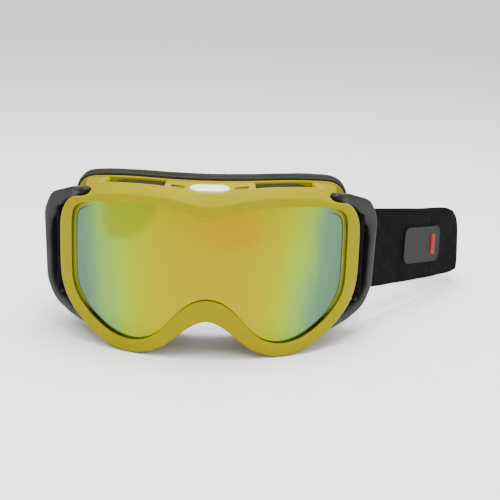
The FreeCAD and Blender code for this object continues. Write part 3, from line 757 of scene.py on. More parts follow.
def window_block(x_span, z_span, slices=16):
    """A block that cuts a window: its front and back follow the frame's curves."""
    points = []
    for x in np.linspace(*x_span, slices):
        front = float(bend_of(x, LENS_RADIUS)) + RIM_DEPTH + WINDOW_MARGIN
        back = float(bend_of(x, FACE_RADIUS)) + FLANGE_FRONT - WINDOW_MARGIN
        low, high = z_span
        points += [(x, front, low), (x, back, low), (x, back, high), (x, front, high)]
    return new_object("cutter", points, tube_faces(slices, 4), smooth=False)


def cut_windows(item):
    """Cut the vent windows through the walls."""
    for x_span, z_span in WINDOWS.values():
        for side in (1, -1):
            carve(item, window_block(sorted((side * x_span[0], side * x_span[1])), z_span))


BADGE_PLACE = (0, 17.6, 92.4)
BADGE_TILT = math.atan2(2.2, 22.7)  # the slope of the bridge, from the brow up to the flange
RECESS_AT = 18.2
RECESS_SIZE = (4.8, 3.6, 1.7)  # half length, half width and depth of a pocket
RECESS_STRAIGHT = 2.1  # half the length of its straight part


def cut_recesses(item):
    """Two shallow long pockets beside the badge."""
    around, rows = 36, 11
    half_long, half_wide, depth = RECESS_SIZE
    for side in (1, -1):
        points = []
        for row in range(rows):
            level = math.pi * (row + 0.02) / (rows - 1 + 0.04)
            for cosine, sine in turn_points(around):
                x = (math.copysign(RECESS_STRAIGHT, cosine) + (half_long - RECESS_STRAIGHT) * cosine)
                y = half_wide * sine * math.sin(level)
                z = 0.35 + depth * math.cos(level) + y * math.tan(BADGE_TILT)
                points.append((side * RECESS_AT + x * math.sin(level), BADGE_PLACE[1] + y,
                               BADGE_PLACE[2] + z))
        carve(item, new_object("cutter", points, tube_faces(rows, around), smooth=False))


# ================================================================ lens

LENS_SWELL = 1.0  # how far the lens stands forward at its middle, over its plain curve
LENS_MIDDLE = 50.0  # the height of its middle, and the reach of the swell above and below
LENS_HALF = 42.0
LENS_TUCK = 2.6  # how far the lens reaches into its groove
LENS_FRONT = 2.35
GASKET_INSET = (1.9, 5.7)  # its outer and inner outline, inside the opening's edge
GASKET_SPAN = (4.0, 6.4)  # its front and back, behind the rim's front
CLEAR_FRONT = 6.5


def inside_loop(loop, x, z):
    """Whether a point lies inside a closed outline."""
    here, after = loop, np.roll(loop, -1, 0)
    crosses = (here[:, 1] > z) != (after[:, 1] > z)
    share = (z - here[:, 1]) / (after[:, 1] - here[:, 1] + 1e-12)
    return bool(np.sum(crosses & (x < here[:, 0] + share * (after[:, 0] - here[:, 0]))) % 2)


def pane(name, loop, front, thickness, swell, spacing=2.2):
    """A curved sheet inside an outline, with a slight swell; returns it with its flat points."""
    points = [Vector((x, z)) for x, z in loop]
    border = len(points)
    low, high = loop.min(0), loop.max(0)
    for x in np.arange(low[0], high[0], spacing):
        for z in np.arange(low[1], high[1], spacing):
            if inside_loop(loop, x, z) and np.min(np.hypot(loop[:, 0] - x, loop[:, 1] - z)) > 0.9:
                points.append(Vector((x, z)))
    edges = [(i, (i + 1) % border) for i in range(border)]
    flat, _, faces, _, _, _ = geometry.delaunay_2d_cdt(points, edges, [], 1, 1e-5)
    flat = np.array([(p.x, p.y) for p in flat])
    rise = swell * (1 - ((flat[:, 1] - LENS_MIDDLE) / LENS_HALF) ** 2)
    outer = on_lens(flat, front)
    outer[:, 1] -= np.maximum(rise, 0)
    inner = outer.copy()
    inner[:, 1] += thickness
    count = len(flat)
    all_faces = [tuple(f) for f in faces] + [tuple(i + count for i in reversed(f)) for f in faces]
    all_faces += [(i, (i + 1) % border, (i + 1) % border + count, i + count) for i in range(border)]
    return new_object(name, np.vstack([outer, inner]), all_faces), flat


def set_lens_normals(item, flat_count):
    """Exact normals on the two big faces, so that reflections run smoothly."""
    normals = []
    for vertex in item.data.vertices:
        x = (vertex.co.x - MIDDLE_X) / MM
        z = (vertex.co.z - BASE_Z) / MM - LENS_MIDDLE
        slope_x = x / math.sqrt(LENS_RADIUS ** 2 - x * x)
        slope_z = LENS_SWELL * 2 * z / LENS_HALF ** 2 if abs(z) < LENS_HALF else 0.0
        normal = Vector((slope_x, -1.0, slope_z)).normalized()
        normals.append(normal if vertex.index < flat_count else -normal)
    item.data.normals_split_custom_set_from_vertices(normals)


def spot(flat, x, z, full, gone, stretch=1.0):
    """1 near a place on the lens, fading to 0 between two distances from it."""
    return 1 - ease(np.hypot((flat[:, 0] - x) / stretch, flat[:, 1] - z), full, gone)


def lenses():
    """The mirrored outer pane, the clear inner pane and the foam gasket between them."""
    outer, flat = pane("mirror_pane", rim_point(band - LENS_TUCK)[::3], LENS_FRONT + LENS_SWELL, 1.35,
                       LENS_SWELL)
    visible = rim_point(band)
    edge = np.array([np.min(np.hypot(visible[:, 0] - x, visible[:, 1] - z))
                     * (1 if inside_loop(visible, x, z) else -1) for x, z in flat])
    x, z = flat[:, 0], flat[:, 1]
    # edge and flank place the painted lip reflection and its dark lines of shade at the lens's sides.
    facts = {"edge": np.clip(edge / 12, 0, 1), "reach": np.clip(np.abs(x) / 79, 0, 1),
             "height": np.clip(z / 90, 0, 1), "flank": ease(np.abs(x), 64, 73),
             "warm": spot(flat, 14, 72, 2, 18, 1.3),
             # Where the darker olive painted reflection lies, at the top left.
             "painted_reflection": spot(flat, -52, 88, 21.5, 25.5) * ease(x, -62, -54)}
    for name, values in facts.items():
        attribute = outer.data.attributes.new(name, "FLOAT", "POINT")
        attribute.data.foreach_set("value", np.r_[values, values].astype(np.float32))
    set_lens_normals(outer, len(flat))
    finish_piece(outer, "root", "lens_mirror", "outer_lens")
    outside, inside = (rim_point(band + inset) for inset in GASKET_INSET)
    front, back = GASKET_SPAN
    inner, _ = pane("clear_pane", outside[::3], CLEAR_FRONT, 0.85, 0.0, 4.0)
    finish_piece(inner, "root", "lens_clear", "inner_lens")
    gasket = skin("lens_gasket", rounded_rings([
        (on_lens(outside, front), 0.3), (on_lens(inside, front), 0.9),
        (on_lens(inside, back), 0.9), (on_lens(outside, back), 0.3)], 4))
    # The gasket foam is painted olive, as the yellow lip's reflection.
    finish_piece(gasket, "root", "foam_dark", "lens_spacer", material="gasket_lip_reflection")


# ================================================================ foam

FOAM_INSET = 8.0  # the inner edge of the face foam, inside the opening's edge


def foam_ring(name, front, back, outer_in, slot, node, bulge, seed):
    """One layer of the face foam, softly rounded and slightly uneven."""
    inner = rim_point(band + FOAM_INSET)
    outer = face[:, :2] - face_in * outer_in
    middle = (front + back) / 2
    rings = np.array(rounded_rings([
        (on_face(inner, front), 0.6), (on_face(inner + rim_in * bulge, middle), 0.0),
        (on_face(inner, back), 1.2), (on_face((inner + outer) / 2, back + bulge * 0.5), 0.0),
        (on_face(outer, back), 1.2), (on_face(outer - face_in * bulge, middle), 0.0),
        (on_face(outer, front), 0.6)]))
    for ring in rings:
        for i, (x, y, z) in enumerate(ring):
            wobble = noise.noise(Vector((x * 0.09, y * 0.09 + seed, z * 0.09)))
            ring[i] += (0, 0.10 * wobble, 0.18 * wobble)
    item = skin(name, rings)
    finish_piece(item, "root", slot, node)


SHEET_MARGIN = 1.5  # how far a vent's foam reaches past its window
SHEET_IN, SHEET_OUT = 3.3, 1.7  # the inner and outer face of the foam, inside the opening's edge
SHEET_FRONT = 8.2
SHEET_BACK = FLANGE_FRONT - 1.2


def vent_sheet(name, word, side):
    """A foam sheet behind a bottom or side window, just inside the wall."""
    (x_low, x_high), (z_low, z_high) = WINDOWS[word]
    x, z = rim[:, 0] * side, rim[:, 1]
    inside = ((x > x_low - SHEET_MARGIN) & (x < x_high + SHEET_MARGIN)
              & (z > z_low - SHEET_MARGIN - 6) & (z < z_high + SHEET_MARGIN))
    picked = np.nonzero(inside)[0]
    picked = picked[np.argsort(rim[picked, 1 if word == "side" else 0])]
    rings = []
    for depth_in, place in ((SHEET_OUT, 0), (SHEET_OUT, 0.5), (SHEET_OUT, 1),
                            (SHEET_IN, 1), (SHEET_IN, 0.5), (SHEET_IN, 0)):
        flat = rim_point(band + depth_in)[picked]
        rings.append(on_lens(flat, SHEET_FRONT) * (1 - place) + on_face(flat, SHEET_BACK) * place)
    item = skin(name, rings, closed_loop=False, cap=True)
    word = "%s_%s" % (word, "right" if side > 0 else "left")
    finish_piece(item, "root", "foam_dark", "vent_foam_" + word, material="vent_foam")


def top_height(loop, x):
    """The height of a loop's top edge at a distance from the middle."""
    half = loop[HALF_STATIONS // 2:HALF_STATIONS + 1][::-1]
    return np.interp(np.abs(x), half[:, 0], half[:, 1])


def top_vent(side):
    """The foam that fills a long vent in the top, sloping from the brow up to the flange."""
    xs = np.linspace(25.3, 60.0, 36) * side
    fade = ease(np.abs(xs), 48, 60)
    front = bend_of(xs, LENS_RADIUS) + 8.4
    back = bend_of(xs, FACE_RADIUS) + FLANGE_FRONT - 0.15
    low = top_height(rim, xs) - 1.4
    high = top_height(face, xs) - 1.5 - 2.6 * fade
    upper = [(place, 0.5 * math.sin(math.pi * place)) for place in np.linspace(0, 1, 9)]
    lower = [(place, -1.8) for place in (1, 0.5, 0)]
    rings = [np.stack([xs, front + (back - front) * place, low + (high - low) * place + lift], 1)
             for place, lift in upper + lower]
    word = "right" if side > 0 else "left"
    item = skin("vent_sheet_top_" + word, rings, closed_loop=False, cap=True)
    finish_piece(item, "root", "foam_dark", "vent_foam_top_" + word, material="vent_foam")


BADGE_WIDTH = 11.0
BADGE_DOME = [  # share of the outline and height above the bridge
    (1.0, -0.6), (1.0, 0.7), (0.97, 1.0), (0.9, 1.25), (0.75, 1.5), (0.5, 1.7), (0.25, 1.78), (0.03, 1.8),
]


def badge():
    """The blank domed pill on the bridge."""
    low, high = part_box("top_badge")
    straight = ((high.x - low.x) / MM - BADGE_WIDTH) / 2
    sine_tilt, cosine_tilt = math.sin(BADGE_TILT), math.cos(BADGE_TILT)
    rings = []
    for share, level in BADGE_DOME:
        half = BADGE_WIDTH / 2 * share
        ring = []
        for cosine, sine in turn_points(64):
            x = math.copysign(straight * min(1, share * 1.2), cosine) + half * cosine
            ring.append((x, half * sine * cosine_tilt - level * sine_tilt,
                         half * sine * sine_tilt + level * cosine_tilt))
        rings.append(np.array(BADGE_PLACE) + ring)
    item = skin("badge_dome", rings, closed_rings=False)
    finish_piece(item, "root", "badge_pale", "top_badge")


# ================================================================ outriggers

OUTRIGGER_PATH = [  # distance from the hinge, height and corner radius, from the top eye down
    (-2.4, 86.3, 0), (11, 83.7, 20), (29.0, 78.0, 10), (35.0, 68.0, 12), (33.2, 28.5, 12),
    (27, 18.5, 16), (13, 13.8, 20), (-3.2, 10.7, 0),
]
GUSSET = 4.2  # how much deeper the band is on the inner side of its upper corner
GUSSET_SPAN = (17, 31, 40, 56)  # distances along the band: it grows, is full, shrinks and ends
BAND_HALF = (3.05, 2.9)  # half the band's thickness in the plane of its C and across it
EYE_SPAN = (5, 13)  # the band widens into its eyes between these distances from an end
END_ROUND = 3.8
ANCHOR_REACH = 23.5
ANCHOR_BAR = [  # height and radius, thicker where the bar meets the band
    (19.5, 2.38), (22, 1.75), (25, 1.4), (48, 1.4), (70, 1.4), (74, 1.54), (76.5, 1.82), (78.5, 2.52),
]
BOSS_RADIUS = 3.0
BOSS_SPANS = {"upper": (78.2, 82.7), "lower": (14.6, 24.5)}  # heights of their ends
PIN_SPANS = {"upper": (79.0, 86.9), "lower": (10.6, 21.5)}
PIN_PROFILE = [  # share of the pin's length, and radius
    (0.0, 0.01), (0.0, 0.5), (0.0, 1.0), (0.04, 1.45), (0.5, 1.45), (0.96, 1.45), (1.0, 1.0), (1.0, 0.5),
    (0.96, 0.029),
]


def rounded_line(points, step=1.0):
    """Evenly spaced points along straight runs joined by arcs; points are (*place, radius)."""
    dense = []
    corners = [np.array(p[:-1], float) for p in points]
    radii = [p[-1] for p in points[1:-1]]
    dense.append(corners[0])
    for before, here, after, radius in zip(corners, corners[1:], corners[2:], radii):
        to_start = (before - here) / np.linalg.norm(before - here)
        to_end = (after - here) / np.linalg.norm(after - here)
        half = math.acos(np.clip(np.dot(to_start, to_end), -1, 1)) / 2
        run = radius / math.tan(half)
        centre = here + (to_start + to_end) / np.linalg.norm(to_start + to_end) * radius / math.sin(half)
        first, last = here + to_start * run, here + to_end * run
        for share in np.linspace(0, 1, 24):
            spoke = (first - centre) * (1 - share) + (last - centre) * share
            dense.append(centre + spoke / np.linalg.norm(spoke) * radius)
    dense.append(corners[-1])
    dense = np.array(dense)
    lengths = lengths_along(dense)
    marks = np.linspace(0, lengths[-1], max(2, int(round(lengths[-1] / step)) + 1))
    return sample(dense, lengths, marks), marks


def swing_place(side, reach, across, level):
    """A point of an outrigger, from its reach from the hinge, offset across and height."""
    cosine, sine = math.cos(SWING_ANGLE), math.sin(SWING_ANGLE)
    x = HINGE[0] + reach * cosine - across * sine
    y = HINGE[1] + reach * sine + across * cosine
    return (side * x, y, level)


def outrigger(side, hand):
    """The C-shaped band with its eyes, and the bar that the strap's loop turns round."""
    path, marks = rounded_line(OUTRIGGER_PATH, 0.8)
    along = directions(path)
    start, full, fading, gone = GUSSET_SPAN
    rings = []
    for cosine, sine in turn_points(32, 0.5):
        line = []
        for (reach, level), (run, climb), mark in zip(path, along, marks):
            near_end = min(mark, marks[-1] - mark)
            eye = 1 - ease(near_end, *EYE_SPAN)
            power = 0.42 + 0.3 * eye
            gusset = GUSSET * ease(mark, start, full) * (1 - ease(mark, fading, gone)) * (cosine < 0)
            end = max(math.sqrt(1 - (1 - min(near_end / END_ROUND, 1.0)) ** 2), 0.05)
            deep, wide = BAND_HALF[0] - 0.25 * eye + gusset, BAND_HALF[1] + 0.9 * eye
            in_plane = deep * math.copysign(abs(cosine) ** power, cosine) * end
            across = wide * math.copysign(abs(sine) ** power, sine) * end
            line.append(swing_place(side, reach - climb * in_plane, across, level + run * in_plane))
        rings.append(line)
    item = skin("outrigger_band_" + hand, rings, closed_loop=False, cap=True)
    bar_rings = [[swing_place(side, ANCHOR_REACH + radius * cosine, radius * sine, level)
                  for level, radius in ANCHOR_BAR] for cosine, sine in turn_points(20)]
    bar = skin("anchor_bar_" + hand, bar_rings, closed_loop=False, cap=True)
    finish_piece(item, "outrigger_" + hand, "outrigger_grey", "outrigger_" + hand)
    finish_piece(bar, "outrigger_" + hand, "outrigger_grey")


def hinge_ring(side, radius, height, count):
    """A level ring of points round the axis that an outrigger swings on."""
    return [(side * HINGE[0] + radius * cosine, HINGE[1] + radius * sine, height)
            for cosine, sine in turn_points(count)]


def hinge_boss(side, hand, level, low, high):
    """A post on the wall that carries a hinge pin, flared where it meets the wall."""
    rings = []
    for share in np.linspace(0, 1, 12):
        from_wall = share if level == "upper" else 1 - share
        radius = BOSS_RADIUS + 1.1 * (1 - ease(from_wall, 0.0, 0.55)) - 0.4 * ease(from_wall, 0.9, 1.0)
        rings.append(hinge_ring(side, radius, low + (high - low) * share, 36))
    rings.append(hinge_ring(side, radius * 0.5, high, 36))
    item = skin("hinge_boss_%s_%s" % (level, hand), rings, closed_rings=False)
    finish_piece(item, "root", "frame_yellow")


def hinge_pin(side, hand, level, low, high):
    """A steel pin with rounded ends, standing in the boss and the outrigger's eye."""
    rings = [hinge_ring(side, radius, low + (high - low) * share, 32) for share, radius in PIN_PROFILE]
    item = skin("hinge_pin_body_%s_%s" % (level, hand), rings, closed_rings=False)
    finish_piece(item, "root", "pin_steel", "hinge_pin_%s_%s" % (level, hand))


# ================================================================ strap

STRAP_LEVEL = 25.5  # height of the strap's lower edge at the outriggers
STRAP_THICK = 2.0
STRAP_ROUTE = [  # x, y and corner radius, from the right outrigger round to the left one
    (85, 63.4, 0), (86.5, 70, 14), (175, 177, 5), (-72, 143.3, 18), (-87.5, 86, 60), (-85, 63.4, 0),
]
FOLD_AT = 138.0  # the lower edge comes down to FOLD_LEVEL at this distance along the strap
FOLD_LEVEL = 6.8
LANDING_AT = 168.0  # and stays at REST_LEVEL from this one on, so that the sliders clear the floor
REST_LEVEL = 4.0
CORNER_BACK = 98.0  # it touches the floor this far before the strap's left end
CORNER_FALL = 32.0
SPREAD = 4.2  # how much wider the webbing is at its ends, where the loops hold it open
SPREAD_SPAN = (5, 125)
SPREAD_PIVOT = 0.58  # the share of its width that keeps its height
FOLD_REACH = 7.5  # how far the fold's crease and the slump round it reach along the strap
SLUMP_REACH = 16.0
FOLD_LEAN = 1.6  # how far the folded edges lean and drop
FOLD_CURL = (3.2, 1.1)  # the extra lean of the upper and of the lower edge
SLUMP_DROP = 2.6
RIGHT_STRETCH = 96.0  # length of the right and left side stretches
LEFT_STRETCH = 62.0
SEAM_GAP = 0.3  # between a side stretch and the sewn end
TAIL_OFFSET = 2.3  # how far the tails lie outside the rear strap
TAIL_SPANS = {"right": (203, 255), "left": (271, 323)}  # distances along the strap
SLIDER_PLACES = {"right": 228, "left": 298}
SLIDER_STRETCH = (188, 206, 320, 338)  # the webbing lies flatter here, where the sliders run

strap_line, strap_marks = rounded_line(STRAP_ROUTE, 1.0)
STRAP_LENGTH = strap_marks[-1]
CORNER_AT = STRAP_LENGTH - CORNER_BACK
FOLD_APEX = float(strap_marks[int(np.argmax(strap_line[:, 0]))])


def lower_edge(distance):
    """Height of the strap's lower edge along its length."""
    if distance < FOLD_AT:
        return FOLD_LEVEL + (STRAP_LEVEL - FOLD_LEVEL) * (1 - distance / FOLD_AT) ** 1.25
    if distance < LANDING_AT:
        share = ease(distance, FOLD_AT, LANDING_AT)
        return FOLD_LEVEL + (REST_LEVEL - FOLD_LEVEL) * share
    if distance > CORNER_AT:
        return STRAP_LEVEL * ((distance - CORNER_AT) / (STRAP_LENGTH - CORNER_AT)) ** 1.3
    return REST_LEVEL * (1 - ease(distance, CORNER_AT - CORNER_FALL, CORNER_AT))


def spread(distance):
    """Extra width at a distance along the strap."""
    from_end = min(distance, STRAP_LENGTH - distance)
    return SPREAD * (1 - ease(from_end, *SPREAD_SPAN))


LOWER = np.array([lower_edge(mark) for mark in strap_marks])


def strap_place(distance):
    """x and y at a distance along the strap."""
    return sample(strap_line, strap_marks, distance)


def strap_frame(distance):
    """Place, direction along, direction across (outwards) and lower edge at a distance."""
    along = strap_place(distance + 0.8) - strap_place(distance - 0.8)
    along /= np.linalg.norm(along)
    out = np.array([along[1], -along[0]])
    return strap_place(distance), along, out, float(np.interp(distance, strap_marks, LOWER))


def webbing_section(thickness):
    """The outline of webbing as (across, up) pairs, with rolled selvedges."""
    half, radius = thickness / 2, thickness * 0.48
    levels = np.linspace(radius, STRAP_WIDTH - radius, 13)
    points = [(half, up) for up in levels]
    for angle in np.linspace(0, math.pi, 7)[1:-1]:
        points.append((half * math.cos(angle), STRAP_WIDTH - radius + radius * math.sin(angle)))
    points += [(-half, up) for up in levels[::-1]]
    for angle in np.linspace(math.pi, 2 * math.pi, 7)[1:-1]:
        points.append((half * math.cos(angle), radius + radius * math.sin(angle)))
    return points


def crease_at(distance, width):
    """1 at the apex of the strap's fold, fading with the distance from it."""
    return math.exp(-((distance - FOLD_APEX) / width) ** 2)


def webbing(name, marks, thickness, points_at):
    """A strip of webbing; points_at(i, section) gives its section's points at the i-th mark."""
    section = webbing_section(thickness)
    rings = np.stack([points_at(i, section) for i in range(len(marks))], 1)
    uvs = [[(mark, up) for mark in marks] for _, up in section]
    return skin(name, rings, closed_loop=False, cap=True, uvs=uvs)


def ribbon(name, start, end, offset=0.0, cup=0.35):
    """A stretch of webbing along the strap's line, slightly cupped and uneven."""
    marks = np.linspace(start, end, max(3, int((end - start) / 1.6) + 1))
    calming, flat_from, flat_to, flat_end = SLIDER_STRETCH

    def points_at(i, section):
        mark = marks[i]
        place, _, out, base = strap_frame(mark)
        calm = ease(mark, 0, 12) * ease(STRAP_LENGTH - mark, 0, 12)
        calm *= 1 - 0.8 * ease(mark, calming, flat_from) * (1 - ease(mark, flat_to, flat_end))
        crease, slump = crease_at(mark, FOLD_REACH), crease_at(mark, SLUMP_REACH)
        points = []
        for across, up in section:
            share = (up / STRAP_WIDTH - 0.5) * 2
            rise = spread(mark) * (up / STRAP_WIDTH - SPREAD_PIVOT)
            wave = 0.28 * math.sin(mark * 0.085 + up * 0.05) + 0.18 * math.sin(mark * 0.21 - up * 0.09)
            x, y = place + out * (across + offset + cup * (share * share - 0.4) * calm + wave * calm)
            curl = FOLD_CURL[0] if share > 0 else FOLD_CURL[1]
            lean = crease * (FOLD_LEAN * -share - curl * abs(share) ** 4)
            drop = crease * FOLD_LEAN * share ** 5 + slump * SLUMP_DROP * max(share, 0.0) ** 1.5
            points.append((x + lean, y, base + up + rise - drop))
        return points

    return webbing(name, marks, STRAP_THICK, points_at)


def side_stretch(hand, start, end):
    """A side of the strap, with its transform baked in and no body."""
    item = ribbon("strap_web_" + hand, start, end)
    finish_piece(item, None, "strap_webbing", "strap_side_" + hand)
    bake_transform(item)


def strap():
    """The side stretches, the rear loop and the folded tails."""
    left_start = STRAP_LENGTH - LEFT_STRETCH
    side_stretch("right", SEAM_GAP, RIGHT_STRETCH)
    side_stretch("left", left_start, STRAP_LENGTH - SEAM_GAP)
    rear = ribbon("strap_web_rear", RIGHT_STRETCH, left_start)
    finish_piece(rear, "root", "strap_webbing", "strap_rear")
    for hand, (start, end) in TAIL_SPANS.items():
        tail = ribbon("strap_tail_web_" + hand, start, end, offset=TAIL_OFFSET, cup=0.2)
        finish_piece(tail, "root", "strap_webbing", "strap_tail_" + hand)


LOOP_RADIUS = 2.35
LOOP_TURN = (42, -222)  # the loop goes round the anchor bar between these angles
LOOP_THICK = 1.45
SEAM_OUTER = [(85.82, 63.2), (85.8, 56.5)]  # the two layers that are sewn together
SEAM_INNER = [(84.2, 56.5), (84.18, 63.2)]


def end_loop(side, hand):
    """The strap's end: round the anchor bar and sewn back on itself."""
    x, y, _ = swing_place(1, ANCHOR_REACH, 0.0, 0.0)
    turn = [(x + LOOP_RADIUS * math.cos(angle), y + LOOP_RADIUS * math.sin(angle))
            for angle in np.radians(np.linspace(*LOOP_TURN, 26))]
    path = np.array(SEAM_OUTER + turn + SEAM_INNER)
    along = directions(path)

    def points_at(i, section):
        out = np.array([along[i, 1], -along[i, 0]])
        places = [path[i] + out * across for across, _ in section]
        return [(side * x, y, STRAP_LEVEL + up + SPREAD * (up / STRAP_WIDTH - SPREAD_PIVOT))
                for (x, y), (_, up) in zip(places, section)]

    item = webbing("strap_end_" + hand, lengths_along(path), LOOP_THICK, points_at)
    finish_piece(item, "outrigger_" + hand, "strap_webbing", "strap_loop_" + hand)
    stitches(side, hand)


STITCH_ROWS = (60.4, 62.0)
STITCH_STEP = 3.85
STITCH_PROFILE = [(0, 0.15), (0.5, 0.9), (1.5, 1.0), (2.5, 0.9), (3.0, 0.15)]  # height and thickness


def stitches(side, hand):
    """Two rows of bar tacks across the sewn end, on both its faces."""
    points, faces = [], []
    for face_x in (86.65, 83.35):
        for row in STITCH_ROWS:
            for index in range(11):
                low = STRAP_LEVEL + 2.2 + index * STITCH_STEP
                faces += tube_faces(len(STITCH_PROFILE), 8, len(points))
                for level, grow in STITCH_PROFILE:
                    points += [(side * (face_x + 0.26 * grow * cosine), row + 0.3 * grow * sine,
                                low + level) for cosine, sine in turn_points(8)]
    item = new_object("stitching_rows_" + hand, points, faces)
    finish_piece(item, "outrigger_" + hand, "thread", "stitching_" + hand)


SLIDER_SLOT = (7.0, 2.5, STRAP_WIDTH / 2 + 0.4)  # half sizes of the space for the webbing
SLIDER_WALL = 1.8
SLIDER_BAR = 2.6
SLIDER_RAIL = 3.0  # how wide its two upright rails are


def block_mesh(name, half_sizes, place, turn):
    """A block of these half sizes about a place, turned about the upright axis."""
    long, deep, tall = half_sizes
    cosine, sine = math.cos(turn), math.sin(turn)
    corners = [(x, y, z) for z in (-tall, tall)
               for x, y in ((-long, -deep), (long, -deep), (long, deep), (-long, deep))]
    points = [(place[0] + x * cosine - y * sine, place[1] + x * sine + y * cosine, place[2] + z)
              for x, y, z in corners]
    return new_object(name, points, tube_faces(2, 4), smooth=False)


def slider(hand, distance):
    """A moulded two-bar slider round the strap and its tail, with softened edges."""
    flat, along, out, _ = strap_frame(distance)
    turn = math.atan2(along[1], along[0])
    place = (*(flat + out * TAIL_OFFSET / 2), REST_LEVEL + STRAP_WIDTH / 2)
    long, deep, tall = SLIDER_SLOT
    item = block_mesh("slider_" + hand, (long, deep + SLIDER_WALL, tall + SLIDER_BAR), place, turn)
    carve(item, block_mesh("cutter", (long + 1, deep, tall), place, turn))
    carve(item, block_mesh("cutter", (long - SLIDER_RAIL, deep + 9, tall - 1), place, turn))
    modify(item, "BEVEL", width=0.75 * MM, segments=3, limit_method="ANGLE", harden_normals=False)
    for polygon in item.data.polygons:
        polygon.use_smooth = False
    finish_piece(item, "adjuster_" + hand, "adjuster_black", "adjuster_" + hand)


# ================================================================ patch and small CAD nodes

PATCH_AT = 85.0  # distance of the patch's middle along the strap
PATCH_CLEAR = 1.38  # how far the patch's foot lies from the webbing's middle
PATCH_SHAPE = (22.5, 12.0, 5.5)  # half length, half height and corner radius
PATCH_LIFTS = [  # share of the outline and height above the webbing
    (1.0, 0.0), (1.0, 0.45), (0.985, 0.62), (0.955, 0.66), (0.93, 0.50), (0.90, 0.46), (0.6, 0.46),
    (0.3, 0.46), (0.02, 0.46),
]
TAB_AT = 13.0  # distance of the bar's middle from the patch's
TAB_SHAPE = (2.6, 7.1, 0.9)
TAB_LIFTS = [(1.0, 0.40), (1.0, 0.85), (0.86, 1.05), (0.5, 1.1), (0.05, 1.1)]


def dense_outline(outline, step):
    """A closed outline with points added along its long runs."""
    dense = []
    for first, last in zip(outline, np.roll(outline, -1, 0)):
        pieces = max(1, int(np.linalg.norm(last - first) / step))
        dense += [first + (last - first) * i / pieces for i in range(pieces)]
    return np.array(dense)


def on_strap(name, outline, middle, lifts):
    """A raised plate on the strap's outer side, from its outline and (share, height) pairs."""
    rings = []
    for share, height in lifts:
        ring = []
        for u, v in outline * share:
            place, _, out, base = strap_frame(PATCH_AT + middle + u)
            ring.append((*(place + out * (PATCH_CLEAR + height)), base + STRAP_WIDTH / 2 + v))
        rings.append(ring)
    return skin(name, rings, closed_rings=False)


def patch():
    """A plain sewn patch with a raised border, and its small upright bar."""
    item = on_strap("patch_cloth", dense_outline(rounded_box(*PATCH_SHAPE, 9), 1.5), 0.0, PATCH_LIFTS)
    finish_piece(item, "root", "patch_grey", "strap_patch")
    item = on_strap("patch_bar", rounded_box(*TAB_SHAPE, 5), TAB_AT, TAB_LIFTS)
    finish_piece(item, "root", "tab_red", "patch_tab")


def dress_grips():
    """The silicone material for the grip strips, which stay as CAD nodes."""
    for name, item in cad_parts.items():
        if name.startswith("grip_strips"):
            for slot in item.material_slots:
                slot.material = MATERIALS["grip_silicone"]


# ================================================================ stage

FLOOR_REACH = 6.0  # in metres, as the lamps' places and sizes are
LAMPS = {  # place, size and power
    "key": ((-0.35, -0.55, 0.95), 0.5, 5.0), "fill": ((0.7, -0.6, 0.5), 0.6, 1.5),
    "top": ((0.05, 0.0, 1.1), 0.7, 24.0),
}
SKY_STRENGTH = 1.25


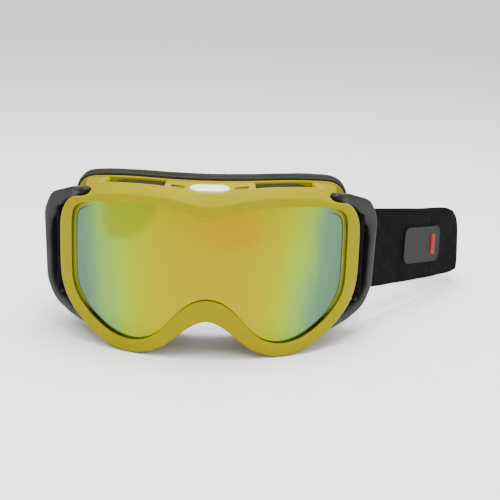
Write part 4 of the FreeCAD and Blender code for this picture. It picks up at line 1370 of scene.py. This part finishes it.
def studio():
    """A plain pale floor and soft light."""
    mesh = bpy.data.meshes.new("floor")
    corners = [(x * FLOOR_REACH, y * FLOOR_REACH, 0) for x, y in ((-1, -1), (1, -1), (1, 1), (-1, 1))]
    mesh.from_pydata(corners, [], [(0, 1, 2, 3)])
    floor = link("floor", mesh)
    floor.location.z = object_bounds()[0][2] - 0.0002
    paper = Nodes("paper")
    grain = paper.noise(paper.place(), 40, 4)
    paper.colour(paper.mix(grain, (0.90, 0.90, 0.90), (0.93, 0.93, 0.93)))
    mesh.materials.append(paper.done(Roughness=0.9))
    floor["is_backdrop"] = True
    world = bpy.data.worlds.new("studio")
    world.use_nodes = True
    world.node_tree.nodes["Background"].inputs[0].default_value = (1, 1, 1, 1)
    world.node_tree.nodes["Background"].inputs[1].default_value = SKY_STRENGTH
    bpy.context.scene.world = world
    for name, (place, size, power) in LAMPS.items():
        lamp = bpy.data.lights.new(name, "AREA")
        lamp.size = size
        lamp.energy = power
        item = link(name, lamp)
        item.location = place
        item.rotation_euler = (at(0, 30, 50) - item.location).to_track_quat("-Z", "Y").to_euler()


CAMERA_AIM = (0, 0, 54)
CAMERA_DISTANCE = 600.0
CAMERA_AZIMUTH = math.radians(1.0)
CAMERA_ELEVATION = math.radians(16)
CAMERA_ROLL = math.radians(1.35)
CAMERA_LENS = 80.0
CAMERA_SHIFT = (0.0848, 0.0314)


def camera():
    """The camera in front of the goggles, slightly above them."""
    back = Vector((math.sin(CAMERA_AZIMUTH) * math.cos(CAMERA_ELEVATION),
                   -math.cos(CAMERA_AZIMUTH) * math.cos(CAMERA_ELEVATION), math.sin(CAMERA_ELEVATION)))
    data = bpy.data.cameras.new("camera")
    data.sensor_width = 36
    data.lens = CAMERA_LENS
    data.shift_x, data.shift_y = CAMERA_SHIFT
    data.clip_start = 0.01
    item = link("camera", data)
    item.location = at(*CAMERA_AIM) + back * CAMERA_DISTANCE * MM
    item.rotation_euler = back.to_track_quat("Z", "Y").to_euler()
    item.rotation_euler.rotate_axis("Z", CAMERA_ROLL)
    bpy.context.scene.camera = item


# ================================================================ build

frame_shell()
lenses()
foam_ring("foam_base_ring", FLANGE_BACK, 37.4, 1.3, "foam_dark", "face_foam_base", bulge=0.15, seed=1.0)
foam_ring("foam_soft_ring", 37.5, 42.4, 1.5, "foam_dark", "face_foam_soft", bulge=0.45, seed=7.0)
foam_ring("fleece_ring", 42.5, 44.8, 1.4, "fleece", "face_fleece", bulge=0.35, seed=13.0)
for hand, side in (("right", 1), ("left", -1)):
    for word in ("bottom", "side"):
        vent_sheet("vent_sheet_%s_%s" % (word, hand), word, side)
    top_vent(side)
    outrigger(side, hand)
    for level in ("upper", "lower"):
        hinge_boss(side, hand, level, *BOSS_SPANS[level])
    for level in ("upper", "lower"):
        hinge_pin(side, hand, level, *PIN_SPANS[level])
    slider(hand, SLIDER_PLACES[hand])
    end_loop(side, hand)
badge()
strap()
patch()
dress_grips()
studio()
camera()
